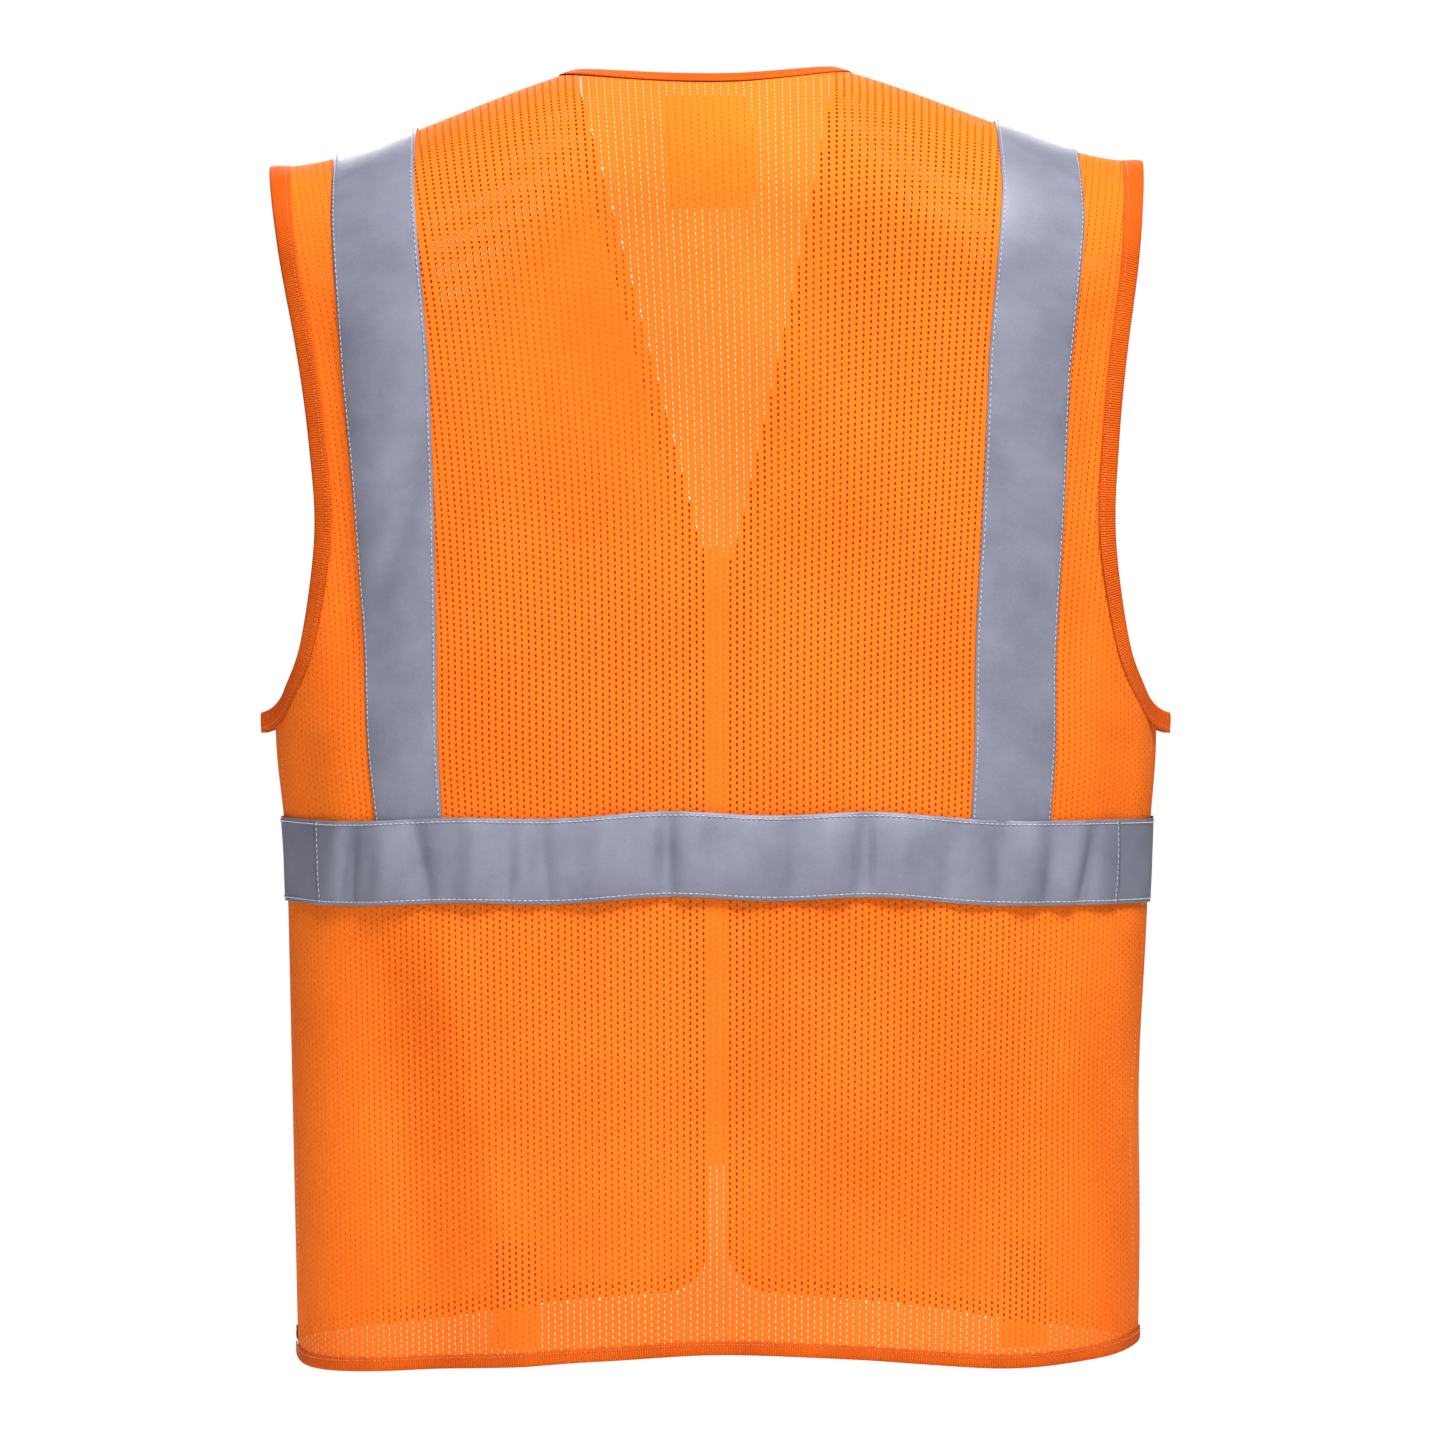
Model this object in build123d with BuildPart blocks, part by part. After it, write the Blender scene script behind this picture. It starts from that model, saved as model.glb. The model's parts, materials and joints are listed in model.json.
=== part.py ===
"""High visibility mesh vest with reflective tape and a zip front, worn shape.

Frame: +Z up, the wearer faces -Y, the wearer's left is +X.  The origin is on the vest's
centre line, level with the seams beside the neck, where shoulders or a hanger carry it.
"""

import os
from math import cos, pi, radians, sin

from build123d import *

# ---- driving dimensions, millimetres -------------------------------------------------
LENGTH = 764.0              # from the neck seams to the middle of the back hem
UNDERARM = 387.0            # from the neck seams down to the underarm
HALF_DEPTH = 118.0          # half the worn depth, front to back
UNDERARM_HALF_WIDTH = 260.0
ARM_FLARE = 40.0            # how much wider the shoulders' surface is than the underarm
TAPER = 0.0207              # narrowing towards the hem, mm per mm
SQUARENESS = 0.03           # 0 is an ellipse, more is boxier
ROUNDING = 95.0             # height over which the shoulders round over
SHOULDER_CROWN = 10.0       # the shoulder line's height at the centre line
SHOULDER_FALL = 2.05e-3     # its fall away from the neck, per mm
SHOULDER_EASE = 1.53e-8     # and how that fall eases towards the arm
SHOULDER_HALF = 260.0       # half the width across the shoulder tips

NECK_HALF = 78.0            # half the width of the neck
BACK_NECK_DROP = 9.5        # the back neckline's middle, below the neck seams
V_BOTTOM = 276.0            # the V neck's bottom, below the neck seams
V_BOTTOM_HALF = 12.0
FRONT_GAP_HALF = 6.0        # from the centre line to a front edge
FRONT_HEM = 743.0           # the front hem beside the rounded corner
CORNER_R = 28.0

PANEL_T = 2.0               # mesh cloth, as a solid
NECK_BINDING = 7.0          # visible widths of the bindings
EDGE_BINDING = 7.5
ARM_BINDING = 9.5
HEM_BINDING = 7.0
BINDING_T = 2.5             # a binding's folded layers together
SEAM_GAP = 0.6              # clear width between pieces that are sewn together
SEAM_TURN = 0.13            # degrees from a side seam that give half that gap
SEAM_WAY = 0.15             # and degrees round the shoulder from the shoulder seam

TAPE_W = 50.0               # reflective tape
TAPE_T = 0.8
TAPE_CLEAR = 0.6
WAIST_TOP = 446.0           # the waist tape's top edge, below the neck seams
WAIST_JOIN = 234.5          # where the waist tapes' ends meet, on the back
BRACE_IN_TOP, BRACE_OUT_TOP = 171.5, 220.0
BRACE_IN_LOW, BRACE_OUT_LOW = 156.0, 197.6

FOLD_TOP = (58.0, -97.0)    # each front folds open along a line from here, x and z
FOLD_LOW = (150.0, -756.0)  # to here
FOLD_GAP = 1.4              # clear width along the fold

ZIP_TOP = 280.5             # the zip's ends, below the neck seams
ZIP_LOW = 663.5
ZIP_TAPE_W = 17.5           # from the centre line to a zip tape's outer edge
ZIP_TAPE_IN = 3.4
ZIP_TAPE_T = 0.8
ZIP_INSET = 3.1             # the zip tapes lie inside the front edges
TOOTH_IN = 0.6
TOOTH_OUT = 3.3
TOOTH_T = 2.8
TOOTH_H = 1.4
TOOTH_PITCH = 3.2
STOP_H = 3.5

SLIDER_H = 12.0
SLIDER_HALF = 5.5
SLIDER_PLATE_T = 1.2
SLIDER_CLEAR = 0.3
POST_HALF = 0.4
PULL_L = 30.0               # from the pull's hinge bar to its end
PULL_HALF = 2.9
PULL_T = 1.2
BAR_R = 0.65
BRIDGE_HALF = 1.2

BOX_H = 9.0
PIN_L = 24.0
LABEL_T = 0.4

REACH = 200.0               # longer than the vest is deep
FAR = 330.0                 # further out than the vest is wide

# ---- values worked out from them -----------------------------------------------------
ZIP_Y = -HALF_DEPTH + ZIP_INSET + ZIP_TAPE_T / 2
TEETH_FRONT = ZIP_Y - TOOTH_T / 2
TEETH_BACK = ZIP_Y + TOOTH_T / 2
SLIDER_TOP = -ZIP_TOP - STOP_H - 0.5 - SLIDER_CLEAR
SLIDER_LOW = SLIDER_TOP - SLIDER_H
SLIDER_MID = (SLIDER_TOP + SLIDER_LOW) / 2
PLATE_FRONT = TEETH_FRONT - SLIDER_CLEAR - SLIDER_PLATE_T
HINGE_Y = PLATE_FRONT - 1.5
BOX_TOP = -ZIP_LOW + BOX_H
PIN_TOP = BOX_TOP + 0.5 + PIN_L
SLIDER_TRAVEL = SLIDER_LOW - BOX_TOP - 1.0
BELOW_PULL = SLIDER_MID - PULL_L - 2.0


# ---- the worn shape ------------------------------------------------------------------
def shoulder_line(x):
    """Height of the shoulder line at x."""
    return SHOULDER_CROWN - SHOULDER_FALL * x ** 2 + SHOULDER_EASE * x ** 4


def half_width(drop):
    """Half the width of the body, at a drop below the shoulder line."""
    flare = ARM_FLARE * max(0.0, 1 - drop / UNDERARM) ** 2
    return UNDERARM_HALF_WIDTH - TAPER * (drop - UNDERARM) + flare


def body_point(turn, way, side):
    """A point of the worn surface: turn goes from the wearer's left to the right.

    way is the angle in degrees round the shoulder up to 90, then 90 plus the millimetres
    below the rounding; side is 1 on the back and -1 on the front.
    """
    angle = radians(min(way, 90.0))
    drop = ROUNDING * (1 - cos(angle)) + max(0.0, way - 90.0)
    across = (cos(turn) - SQUARENESS * cos(3 * turn)) / (1 - SQUARENESS)
    deep = (sin(turn) + SQUARENESS * sin(3 * turn)) / (1 - SQUARENESS)
    x = half_width(drop) * across
    slope = max(0.0, 1 - drop / LENGTH)
    return Vector(x, side * HALF_DEPTH * deep * sin(angle), shoulder_line(x) * slope - drop)


def inset_point(turn, way, side, inset):
    """The same point, moved into the body along the surface's normal."""
    step = 1e-3
    along = body_point(turn + step, way, side) - body_point(turn - step, way, side)
    down = body_point(turn, way + 50 * step, side) - body_point(turn, max(way - 50 * step, 0), side)
    normal = along.cross(down).normalized() * -side
    return body_point(turn, way, side) - normal * inset


def cloth_skin(side, inset=0.0, at_shoulder=0.0, at_side=0.0):
    """The whole back or front surface, at an inset into the body, before it is cut to shape.

    The last two are degrees that it stops short of the shoulder seam and of the side seams.
    """
    ways = [at_shoulder, 15, 30, 45, 60, 75, 90, 130, 180, 240, 300, 380, 480, 590, 700, 800]
    rows = []
    for way in ways:
        drop = ROUNDING * (1 - cos(radians(min(way, 90.0)))) + max(0.0, way - 90.0)
        start = radians(28 * max(0.0, 1 - drop / 350) + at_side)
        turns = [start + (pi - 2 * start) * i / 16 for i in range(17)]
        rows.append(Wire([Edge.make_spline([inset_point(turn, way, side, inset) for turn in turns])]))
    return Shell.make_loft(rows).faces()[0]


# ---- outlines, drawn on X and Z ------------------------------------------------------
def arm_void(hand, grow=0.0):
    """The open space of one armhole: hand is 1 on the wearer's left, -1 on the right."""
    with BuildSketch() as space:
        with BuildLine():
            Line((SHOULDER_HALF, 60), (SHOULDER_HALF, shoulder_line(SHOULDER_HALF)))
            Spline(
                (SHOULDER_HALF, shoulder_line(SHOULDER_HALF)),
                (SHOULDER_HALF - 16.5, -172),
                (SHOULDER_HALF - 25, -280),
                (SHOULDER_HALF - 16.5, -341),
                (UNDERARM_HALF_WIDTH + 2, -UNDERARM),
                tangents=((-0.12, -1), (0.7, -0.7)),
            )
            Polyline((UNDERARM_HALF_WIDTH + 2, -UNDERARM), (FAR, -UNDERARM), (FAR, 60), (SHOULDER_HALF, 60))
        make_face()
        if grow:
            offset(amount=grow)
        if hand < 0:
            mirror(about=Plane.YZ, mode=Mode.REPLACE)
    return space.sketch


def back_neck_void(grow=0.0):
    """The open space above the back neckline."""
    seam = shoulder_line(NECK_HALF)
    with BuildSketch() as space:
        with BuildLine():
            ThreePointArc((-NECK_HALF, seam), (0, -BACK_NECK_DROP), (NECK_HALF, seam))
            Polyline((NECK_HALF, seam), (NECK_HALF, 60), (-NECK_HALF, 60), (-NECK_HALF, seam))
        make_face()
        if grow:
            offset(amount=grow)
    return space.sketch


def back_hem_void(grow=0.0):
    """The space below the back hem, which dips a little each side of the middle."""
    middle = -LENGTH + grow
    edge = UNDERARM_HALF_WIDTH - 4
    with BuildSketch() as space:
        with BuildLine():
            Spline((-FAR, middle + 8), (-edge, middle + 4), (-170, middle - 8), (0, middle),
                   (170, middle - 8), (edge, middle + 4), (FAR, middle + 8))
            Polyline((FAR, middle + 8), (FAR, -860), (-FAR, -860), (-FAR, middle + 8))
        make_face()
    return space.sketch


def front_void(grow=0.0):
    """The V neck, the gap between the front edges and the space below the front hem."""
    seam = shoulder_line(NECK_HALF)
    gap = FRONT_GAP_HALF + grow
    hem = -FRONT_HEM + grow
    corner = CORNER_R - grow
    with BuildSketch() as space:
        with BuildLine():
            Polyline(
                (0, 60), (NECK_HALF + grow, 60), (NECK_HALF + grow, seam), (V_BOTTOM_HALF + grow, -V_BOTTOM),
                (gap, -V_BOTTOM - 16), (gap, hem + corner),
            )
            RadiusArc((gap, hem + corner), (gap + corner, hem), corner)
            Spline((gap + corner, hem), (100, hem - 5), (180, hem - 14), (FAR, hem - 23),
                   tangents=((1, 0), (1, 0)))
            Polyline((FAR, hem - 23), (FAR, -860), (0, -860), (0, 60))
        make_face()
        mirror(about=Plane.YZ)
    return space.sketch


def fold_x(z):
    """Where the fold line is, at a height z."""
    share = (z - FOLD_TOP[1]) / (FOLD_LOW[1] - FOLD_TOP[1])
    return FOLD_TOP[0] + share * (FOLD_LOW[0] - FOLD_TOP[0])


def flap_area(hand):
    """The part of a front that folds open, between the centre line and the fold."""
    shift = FOLD_GAP / 2
    with BuildSketch() as area:
        with BuildLine():
            Polyline((0, 60), (fold_x(60) - shift, 60), (fold_x(-860) - shift, -860), (0, -860), (0, 60))
        make_face()
        if hand < 0:
            mirror(about=Plane.YZ, mode=Mode.REPLACE)
    return area.sketch


def flank_area(hand):
    """The part of a front that stays with the back, outside the fold."""
    shift = FOLD_GAP / 2
    with BuildSketch() as area:
        with BuildLine():
            Polyline((FAR, 60), (fold_x(60) + shift, 60), (fold_x(-860) + shift, -860), (FAR, -860), (FAR, 60))
        make_face()
        if hand < 0:
            mirror(about=Plane.YZ, mode=Mode.REPLACE)
    return area.sketch


def span(x_low, x_high, z_low, z_high):
    """A rectangle from its limits."""
    with BuildSketch() as area:
        with Locations(((x_low + x_high) / 2, (z_low + z_high) / 2)):
            Rectangle(x_high - x_low, z_high - z_low)
    return area.sketch


def brace_area(hand):
    """A brace tape from over the shoulder down to the waist tape."""
    lean_in = (BRACE_IN_TOP - BRACE_IN_LOW) / (WAIST_TOP - 40)
    lean_out = (BRACE_OUT_TOP - BRACE_OUT_LOW) / (WAIST_TOP - 50)
    rise = WAIST_TOP + 60
    with BuildSketch() as area:
        with BuildLine():
            Polyline(
                (BRACE_IN_LOW, -WAIST_TOP + SEAM_GAP), (BRACE_OUT_LOW, -WAIST_TOP + SEAM_GAP),
                (BRACE_OUT_LOW + lean_out * rise, 60), (BRACE_IN_LOW + lean_in * rise, 60),
                (BRACE_IN_LOW, -WAIST_TOP + SEAM_GAP),
            )
        make_face()
        if hand < 0:
            mirror(about=Plane.YZ, mode=Mode.REPLACE)
    return area.sketch


def outline(start, keep=(), remove=()):
    """An area, cut down to what every sketch in keep covers, less every sketch in remove."""
    with BuildSketch() as area:
        add(start)
        for other in keep:
            add(other, mode=Mode.INTERSECT)
        for other in remove:
            add(other, mode=Mode.SUBTRACT)
    return area.sketch


# ---- cutting and saving --------------------------------------------------------------
def trimmed(area, skin, side):
    """The faces of a skin that an outline covers, on the back or the front."""
    with BuildPart() as block:
        with BuildSketch(Plane.XZ):
            add(area)
        extrude(amount=REACH, dir=(0, side, 0))
    return block.part.intersect(skin).faces()


def sew(name, thickness, *pieces):
    """One strip or panel from (area, skin, side) pieces that meet edge to edge, written out."""
    faces = [face for piece in pieces for face in trimmed(*piece)]
    outside = -1 if faces[0].normal_at().Y * pieces[0][2] > 0 else 1
    with BuildPart() as cloth:
        add(Solid.thicken(Shell(faces), thickness * outside))
    save(cloth.part, name)


def save(part, name):
    """Label a finished piece and write it."""
    part.label = name
    export_step(part, f"parts/{name}.step")


BACK, FRONT = 1, -1
EVERYWHERE = span(-FAR, FAR, -860, 60)
SIDES = (("left", 1), ("right", -1))

TAPE_INSET = -TAPE_CLEAR - TAPE_T

binding_skins = {side: cloth_skin(side) for side in (BACK, FRONT)}
panel_skins = {side: cloth_skin(side, 0.0, SEAM_WAY, SEAM_TURN) for side in (BACK, FRONT)}
waist_skins = {side: cloth_skin(side, TAPE_INSET) for side in (BACK, FRONT)}
brace_skins = {side: cloth_skin(side, TAPE_INSET, SEAM_WAY) for side in (BACK, FRONT)}


# ---- panels --------------------------------------------------------------------------
def make_back_panel():
    area = outline(
        EVERYWHERE,
        remove=(arm_void(1, ARM_BINDING + SEAM_GAP), arm_void(-1, ARM_BINDING + SEAM_GAP),
                back_neck_void(NECK_BINDING + SEAM_GAP), back_hem_void(HEM_BINDING + SEAM_GAP)),
    )
    sew("back_panel", PANEL_T, (area, panel_skins[BACK], BACK))


def make_front_panels(name, hand):
    """A front is one cut of mesh, in two solids that meet at the fold."""
    holes = (arm_void(hand, ARM_BINDING + SEAM_GAP), front_void(EDGE_BINDING + SEAM_GAP))
    flap = outline(flap_area(hand), remove=holes)
    flank = outline(flank_area(hand), remove=holes)
    sew(f"front_panel_{name}", PANEL_T, (flap, panel_skins[FRONT], FRONT))
    sew(f"front_side_panel_{name}", PANEL_T, (flank, panel_skins[FRONT], FRONT))


# ---- bindings ------------------------------------------------------------------------
def make_neck_binding():
    """Round the back of the neck and down to where each front's fold begins."""
    strips = [(outline(back_neck_void(NECK_BINDING), remove=(back_neck_void(),)), binding_skins[BACK], BACK)]
    for _, hand in SIDES:
        area = outline(front_void(NECK_BINDING), keep=(flank_area(hand), span(-FAR, FAR, -200, 60)),
                       remove=(front_void(),))
        strips.append((area, binding_skins[FRONT], FRONT))
    sew("neck_binding", BINDING_T, *strips)


def make_armhole_binding(name, hand):
    area = outline(arm_void(hand, ARM_BINDING), keep=(span(-FAR, FAR, -UNDERARM - 20, 60),),
                   remove=(arm_void(hand),))
    halves = [(area, binding_skins[side], side) for side in (BACK, FRONT)]
    sew(f"armhole_binding_{name}", BINDING_T, *halves)


def make_back_hem_binding():
    area = outline(back_hem_void(HEM_BINDING), remove=(back_hem_void(),))
    sew("hem_binding_back", BINDING_T, (area, panel_skins[BACK], BACK))


def make_front_edge_bindings(name, hand):
    """One strip down the V, the front edge, round the corner and along the hem."""
    edge = outline(front_void(EDGE_BINDING), remove=(front_void(),))
    flap = outline(edge, keep=(flap_area(hand),))
    flank = outline(edge, keep=(flank_area(hand), span(-FAR, FAR, -860, -700)))
    sew(f"edge_binding_{name}", BINDING_T, (flap, panel_skins[FRONT], FRONT))
    sew(f"hem_binding_side_{name}", BINDING_T, (flank, panel_skins[FRONT], FRONT))


# ---- reflective tape -----------------------------------------------------------------
def make_waist_tapes():
    waist = span(-FAR, FAR, -WAIST_TOP - TAPE_W, -WAIST_TOP)
    middle = outline(waist, keep=(span(-WAIST_JOIN, WAIST_JOIN, -860, 60),))
    sew("waist_tape_back", TAPE_T, (middle, waist_skins[BACK], BACK))
    for name, hand in SIDES:
        flap = outline(waist, keep=(flap_area(hand),), remove=(front_void(EDGE_BINDING),))
        sew(f"waist_tape_front_{name}", TAPE_T, (flap, waist_skins[FRONT], FRONT))
        flank = outline(waist, keep=(flank_area(hand),))
        join = hand * (WAIST_JOIN + SEAM_GAP)
        round_back = outline(waist, keep=(span(min(join, hand * FAR), max(join, hand * FAR), -860, 60),))
        sew(f"waist_tape_side_{name}", TAPE_T, (flank, waist_skins[FRONT], FRONT),
            (round_back, waist_skins[BACK], BACK))


def make_brace_tapes(name, hand):
    sew(f"brace_tape_back_{name}", TAPE_T, (brace_area(hand), brace_skins[BACK], BACK))
    sew(f"brace_tape_front_{name}", TAPE_T, (brace_area(hand), brace_skins[FRONT], FRONT))


# ---- labels --------------------------------------------------------------------------
def make_labels():
    """Two labels stacked inside the neck, and two fabric tabs inside the hem."""
    first = cloth_skin(BACK, PANEL_T + SEAM_GAP)
    second = cloth_skin(BACK, PANEL_T + LABEL_T + 2 * SEAM_GAP)
    sew("neck_label", LABEL_T, (span(-26.5, 26.5, -84.5, -22), first, BACK))
    sew("care_label", LABEL_T, (span(-24, 24, -91, -22), second, BACK))
    sew("hem_tab_left", LABEL_T, (span(105, 133, -757, -694), first, BACK))
    sew("hem_tab_right", LABEL_T, (span(-194, -167, -757, -694), first, BACK))


# ---- zip -----------------------------------------------------------------------------
def make_zip_tapes():
    """The right tape runs full length; the left one is cut clear of the slider and pull."""
    for name, hand in SIDES:
        with BuildPart() as tape:
            with Locations((hand * (ZIP_TAPE_IN + ZIP_TAPE_W) / 2, ZIP_Y, -(ZIP_TOP + ZIP_LOW) / 2)):
                Box(ZIP_TAPE_W - ZIP_TAPE_IN, ZIP_TAPE_T, ZIP_LOW - ZIP_TOP)
            if hand > 0:
                with Locations((0, ZIP_Y, SLIDER_MID - 0.25)):
                    Box(2 * SLIDER_HALF + 1, 2 * ZIP_TAPE_T, SLIDER_H + 1.5, mode=Mode.SUBTRACT)
        save(tape.part, f"zip_tape_{name}")


def make_zip_teeth(name, hand, top, low, stagger):
    """A row of separate teeth along a tape's edge, half a pitch out from the other row."""
    count = int((top - low - TOOTH_H - stagger) / TOOTH_PITCH) + 1
    middle = hand * (TOOTH_IN + TOOTH_OUT) / 2
    heights = [low + TOOTH_H / 2 + stagger + TOOTH_PITCH * i for i in range(count)]
    with BuildPart() as teeth:
        with Locations(*[(middle, ZIP_Y, z) for z in heights]):
            Box(TOOTH_OUT - TOOTH_IN, TOOTH_T, TOOTH_H)
    save(teeth.part, f"zip_teeth_{name}")


def make_zip_stops():
    for name, hand in SIDES:
        with BuildPart() as stop:
            with Locations((hand * (TOOTH_IN + TOOTH_OUT) / 2, ZIP_Y, -ZIP_TOP - STOP_H / 2)):
                Box(TOOTH_OUT - TOOTH_IN, TOOTH_T, STOP_H)
            fillet(stop.edges().filter_by(Axis.X), 0.6)
        save(stop.part, f"zip_top_stop_{name}")


def make_zip_pin():
    with BuildPart() as pin:
        with Locations(((TOOTH_IN + TOOTH_OUT) / 2, ZIP_Y, PIN_TOP - PIN_L / 2)):
            Box(TOOTH_OUT - TOOTH_IN, TOOTH_T - 0.6, PIN_L)
        fillet(pin.edges().filter_by(Axis.Z), 0.5)
    save(pin.part, "zip_pin")


def make_zip_box():
    """The retainer box on the right tape, with a socket for the pin."""
    x_low, x_high = -TOOTH_OUT, TOOTH_OUT - 0.3
    with BuildPart() as box:
        with Locations(((x_low + x_high) / 2, ZIP_Y, BOX_TOP - BOX_H / 2)):
            Box(x_high - x_low, TOOTH_T + 1.6, BOX_H)
        fillet(box.edges().filter_by(Axis.Y).group_by(Axis.Z)[0], 1.2)
        with BuildSketch(Plane.XY.offset(BOX_TOP)):
            with Locations((1.4, ZIP_Y)):
                Rectangle(2.2, TOOTH_T - 0.2)
        extrude(amount=-BOX_H + 1.5, mode=Mode.SUBTRACT)
    save(box.part, "zip_box")


def make_zip_slider():
    """Two plates round the teeth, joined by a post between the rows, and a bridge for the pull."""
    back_plate = TEETH_BACK + SLIDER_CLEAR + SLIDER_PLATE_T
    lip = ZIP_Y - ZIP_TAPE_T / 2 - 0.4
    with BuildPart() as slider:
        for y_low in (PLATE_FRONT, back_plate - SLIDER_PLATE_T):
            with BuildSketch(Plane.XZ.offset(-y_low)):
                with Locations((0, SLIDER_MID)):
                    RectangleRounded(2 * SLIDER_HALF, SLIDER_H, 2.2)
            extrude(amount=-SLIDER_PLATE_T)
        post_h = 2.6
        with Locations((0, ZIP_Y, SLIDER_TOP - 0.4 - post_h / 2)):
            Box(2 * POST_HALF, back_plate - PLATE_FRONT, post_h)
        lip_d = lip - PLATE_FRONT
        for hand in (1, -1):
            with Locations((hand * (SLIDER_HALF - 0.5), PLATE_FRONT + lip_d / 2, SLIDER_MID)):
                Box(1.0, lip_d, SLIDER_H - 4.6)
        with BuildSketch(Plane.YZ.offset(-BRIDGE_HALF)):
            with Locations((HINGE_Y, SLIDER_MID)):
                RectangleRounded(4.4, 8.0, 1.8)
                Rectangle(1.7, 3.6, mode=Mode.SUBTRACT)
            with Locations((back_plate, SLIDER_MID)):
                Rectangle(2 * (back_plate - PLATE_FRONT - 0.6), 10, mode=Mode.SUBTRACT)
        extrude(amount=2 * BRIDGE_HALF)
    save(slider.part, "zip_slider")


def make_zip_pull():
    """A hinge bar through the bridge, two arms and a flat tab with a hole, hanging down."""
    arm_w = 0.9
    tab_top = SLIDER_MID - 6.0
    tab_low = SLIDER_MID - PULL_L
    with BuildPart() as pull:
        with BuildSketch(Plane.YZ.offset(-PULL_HALF)):
            with Locations((HINGE_Y, SLIDER_MID)):
                Circle(BAR_R)
        extrude(amount=2 * PULL_HALF)
        with BuildSketch(Plane.XZ.offset(-HINGE_Y + PULL_T / 2)):
            with Locations((0, (tab_top + tab_low) / 2)):
                RectangleRounded(2 * PULL_HALF, tab_top - tab_low, 2.4)
            with Locations((0, tab_low + 4.5)):
                Circle(1.5, mode=Mode.SUBTRACT)
            with Locations(*[(hand * (PULL_HALF - arm_w / 2), (SLIDER_MID + tab_top) / 2 - 1) for hand in (1, -1)]):
                Rectangle(arm_w, SLIDER_MID - tab_top + 3)
        extrude(amount=-PULL_T)
    save(pull.part, "zip_pull")


# ---- the vest ------------------------------------------------------------------------
os.makedirs("parts", exist_ok=True)

make_back_panel()
make_neck_binding()
make_back_hem_binding()
make_waist_tapes()
make_labels()
for side_name, side_hand in SIDES:
    make_front_panels(side_name, side_hand)
    make_armhole_binding(side_name, side_hand)
    make_front_edge_bindings(side_name, side_hand)
    make_brace_tapes(side_name, side_hand)

make_zip_tapes()
make_zip_teeth("right", -1, SLIDER_LOW - 0.5 + SLIDER_H, BOX_TOP + 0.5, TOOTH_PITCH / 2)
make_zip_teeth("left", 1, BELOW_PULL, PIN_TOP + 0.5, 0.0)
make_zip_stops()
make_zip_pin()
make_zip_box()
make_zip_slider()
make_zip_pull()

print(f"slider travel {SLIDER_TRAVEL:.1f} mm, hinge bar at y {HINGE_Y:.2f}, z {SLIDER_MID:.2f}")
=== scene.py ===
"""The high visibility vest's looks: mesh, bindings, reflective tape, stitching and zip."""

import json
from math import pi

import bpy
import numpy as np
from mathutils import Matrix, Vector


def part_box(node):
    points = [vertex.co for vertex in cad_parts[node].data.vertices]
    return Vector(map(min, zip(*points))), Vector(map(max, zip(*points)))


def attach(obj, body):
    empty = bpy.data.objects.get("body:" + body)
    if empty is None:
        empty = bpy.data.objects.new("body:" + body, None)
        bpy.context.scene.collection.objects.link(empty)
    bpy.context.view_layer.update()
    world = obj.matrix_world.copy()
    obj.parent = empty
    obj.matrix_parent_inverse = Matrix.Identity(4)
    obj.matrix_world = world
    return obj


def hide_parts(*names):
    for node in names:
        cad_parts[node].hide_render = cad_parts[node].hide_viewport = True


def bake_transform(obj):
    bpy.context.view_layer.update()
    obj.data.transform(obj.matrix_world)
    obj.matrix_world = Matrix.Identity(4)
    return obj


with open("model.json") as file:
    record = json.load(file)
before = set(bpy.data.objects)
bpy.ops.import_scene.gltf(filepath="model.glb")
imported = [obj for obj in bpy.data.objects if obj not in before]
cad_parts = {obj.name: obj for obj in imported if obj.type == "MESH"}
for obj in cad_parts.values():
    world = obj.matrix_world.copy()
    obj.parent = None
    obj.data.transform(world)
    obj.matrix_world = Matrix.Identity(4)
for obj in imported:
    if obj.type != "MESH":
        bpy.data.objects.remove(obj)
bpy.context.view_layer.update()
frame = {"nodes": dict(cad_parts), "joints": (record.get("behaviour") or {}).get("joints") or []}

# ---- sizes taken from the frame, metres ----------------------------------------------
SHOULDER_HALF = np.array(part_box("armhole_binding_left")[1])[0]
WAIST_TOP = np.array(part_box("waist_tape_back")[1])[2]

# ---- the worn shape, as in the CAD ---------------------------------------------------
HALF_DEPTH = 0.118          # from the middle of the body to the smooth front or back
UNDERARM = 0.387            # depth of the underarm below the shoulder line
UNDERARM_HALF = 0.260       # half the width there
LENGTH = 0.764              # drop at which the levels are flat again
ROUNDING = 0.095            # drop over which the cloth turns over the shoulder
SQUARENESS = 0.03           # how much squarer than an ellipse a level is
NECK_HALF = 0.078
BACK_NECK = -0.0095         # height of the back neckline's middle
V_LOW, V_HALF, GAP_HALF = -0.276, 0.012, 0.006
FRONT_HEM, CORNER = -0.743, 0.028
LEAN = 0.0077               # how far the shoulders sit towards the wearer's left

FLOOR = -1.02               # height of the studio floor
AMBIENT = 0.22              # strength of the surround's light

ARM_BINDING = 0.0125
EDGE_BINDING = 0.0090
HEM_BINDING = 0.0080
NECK_BINDING = 0.0105
TAPE_W = 0.050

WALE = 0.0039               # width from one column of holes to the next
COURSE = 0.00374            # height from one hole to the next in its column
HOLE_W = 0.00115            # width of a hole where the knit is widest open

VIEW_FROM = 4.06            # the camera's distance behind the back, and its height
VIEW_HEIGHT = -0.390

ZIP_TAPE_EDGE = 0.0003      # distance of a zip tape's inner edge from the middle

BACK, FRONT = 1, -1
ROOT = "vest_back"
WORDS = {1: "left", -1: "right"}                # by the sign of x, on the wearer's left and right
BODIES = {1: "front_left", -1: "front_right"}


# ---- the worn surface ----------------------------------------------------------------
def shoulder_line(x):
    return 0.010 - 2.05 * x ** 2 + 15.3 * x ** 4


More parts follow.
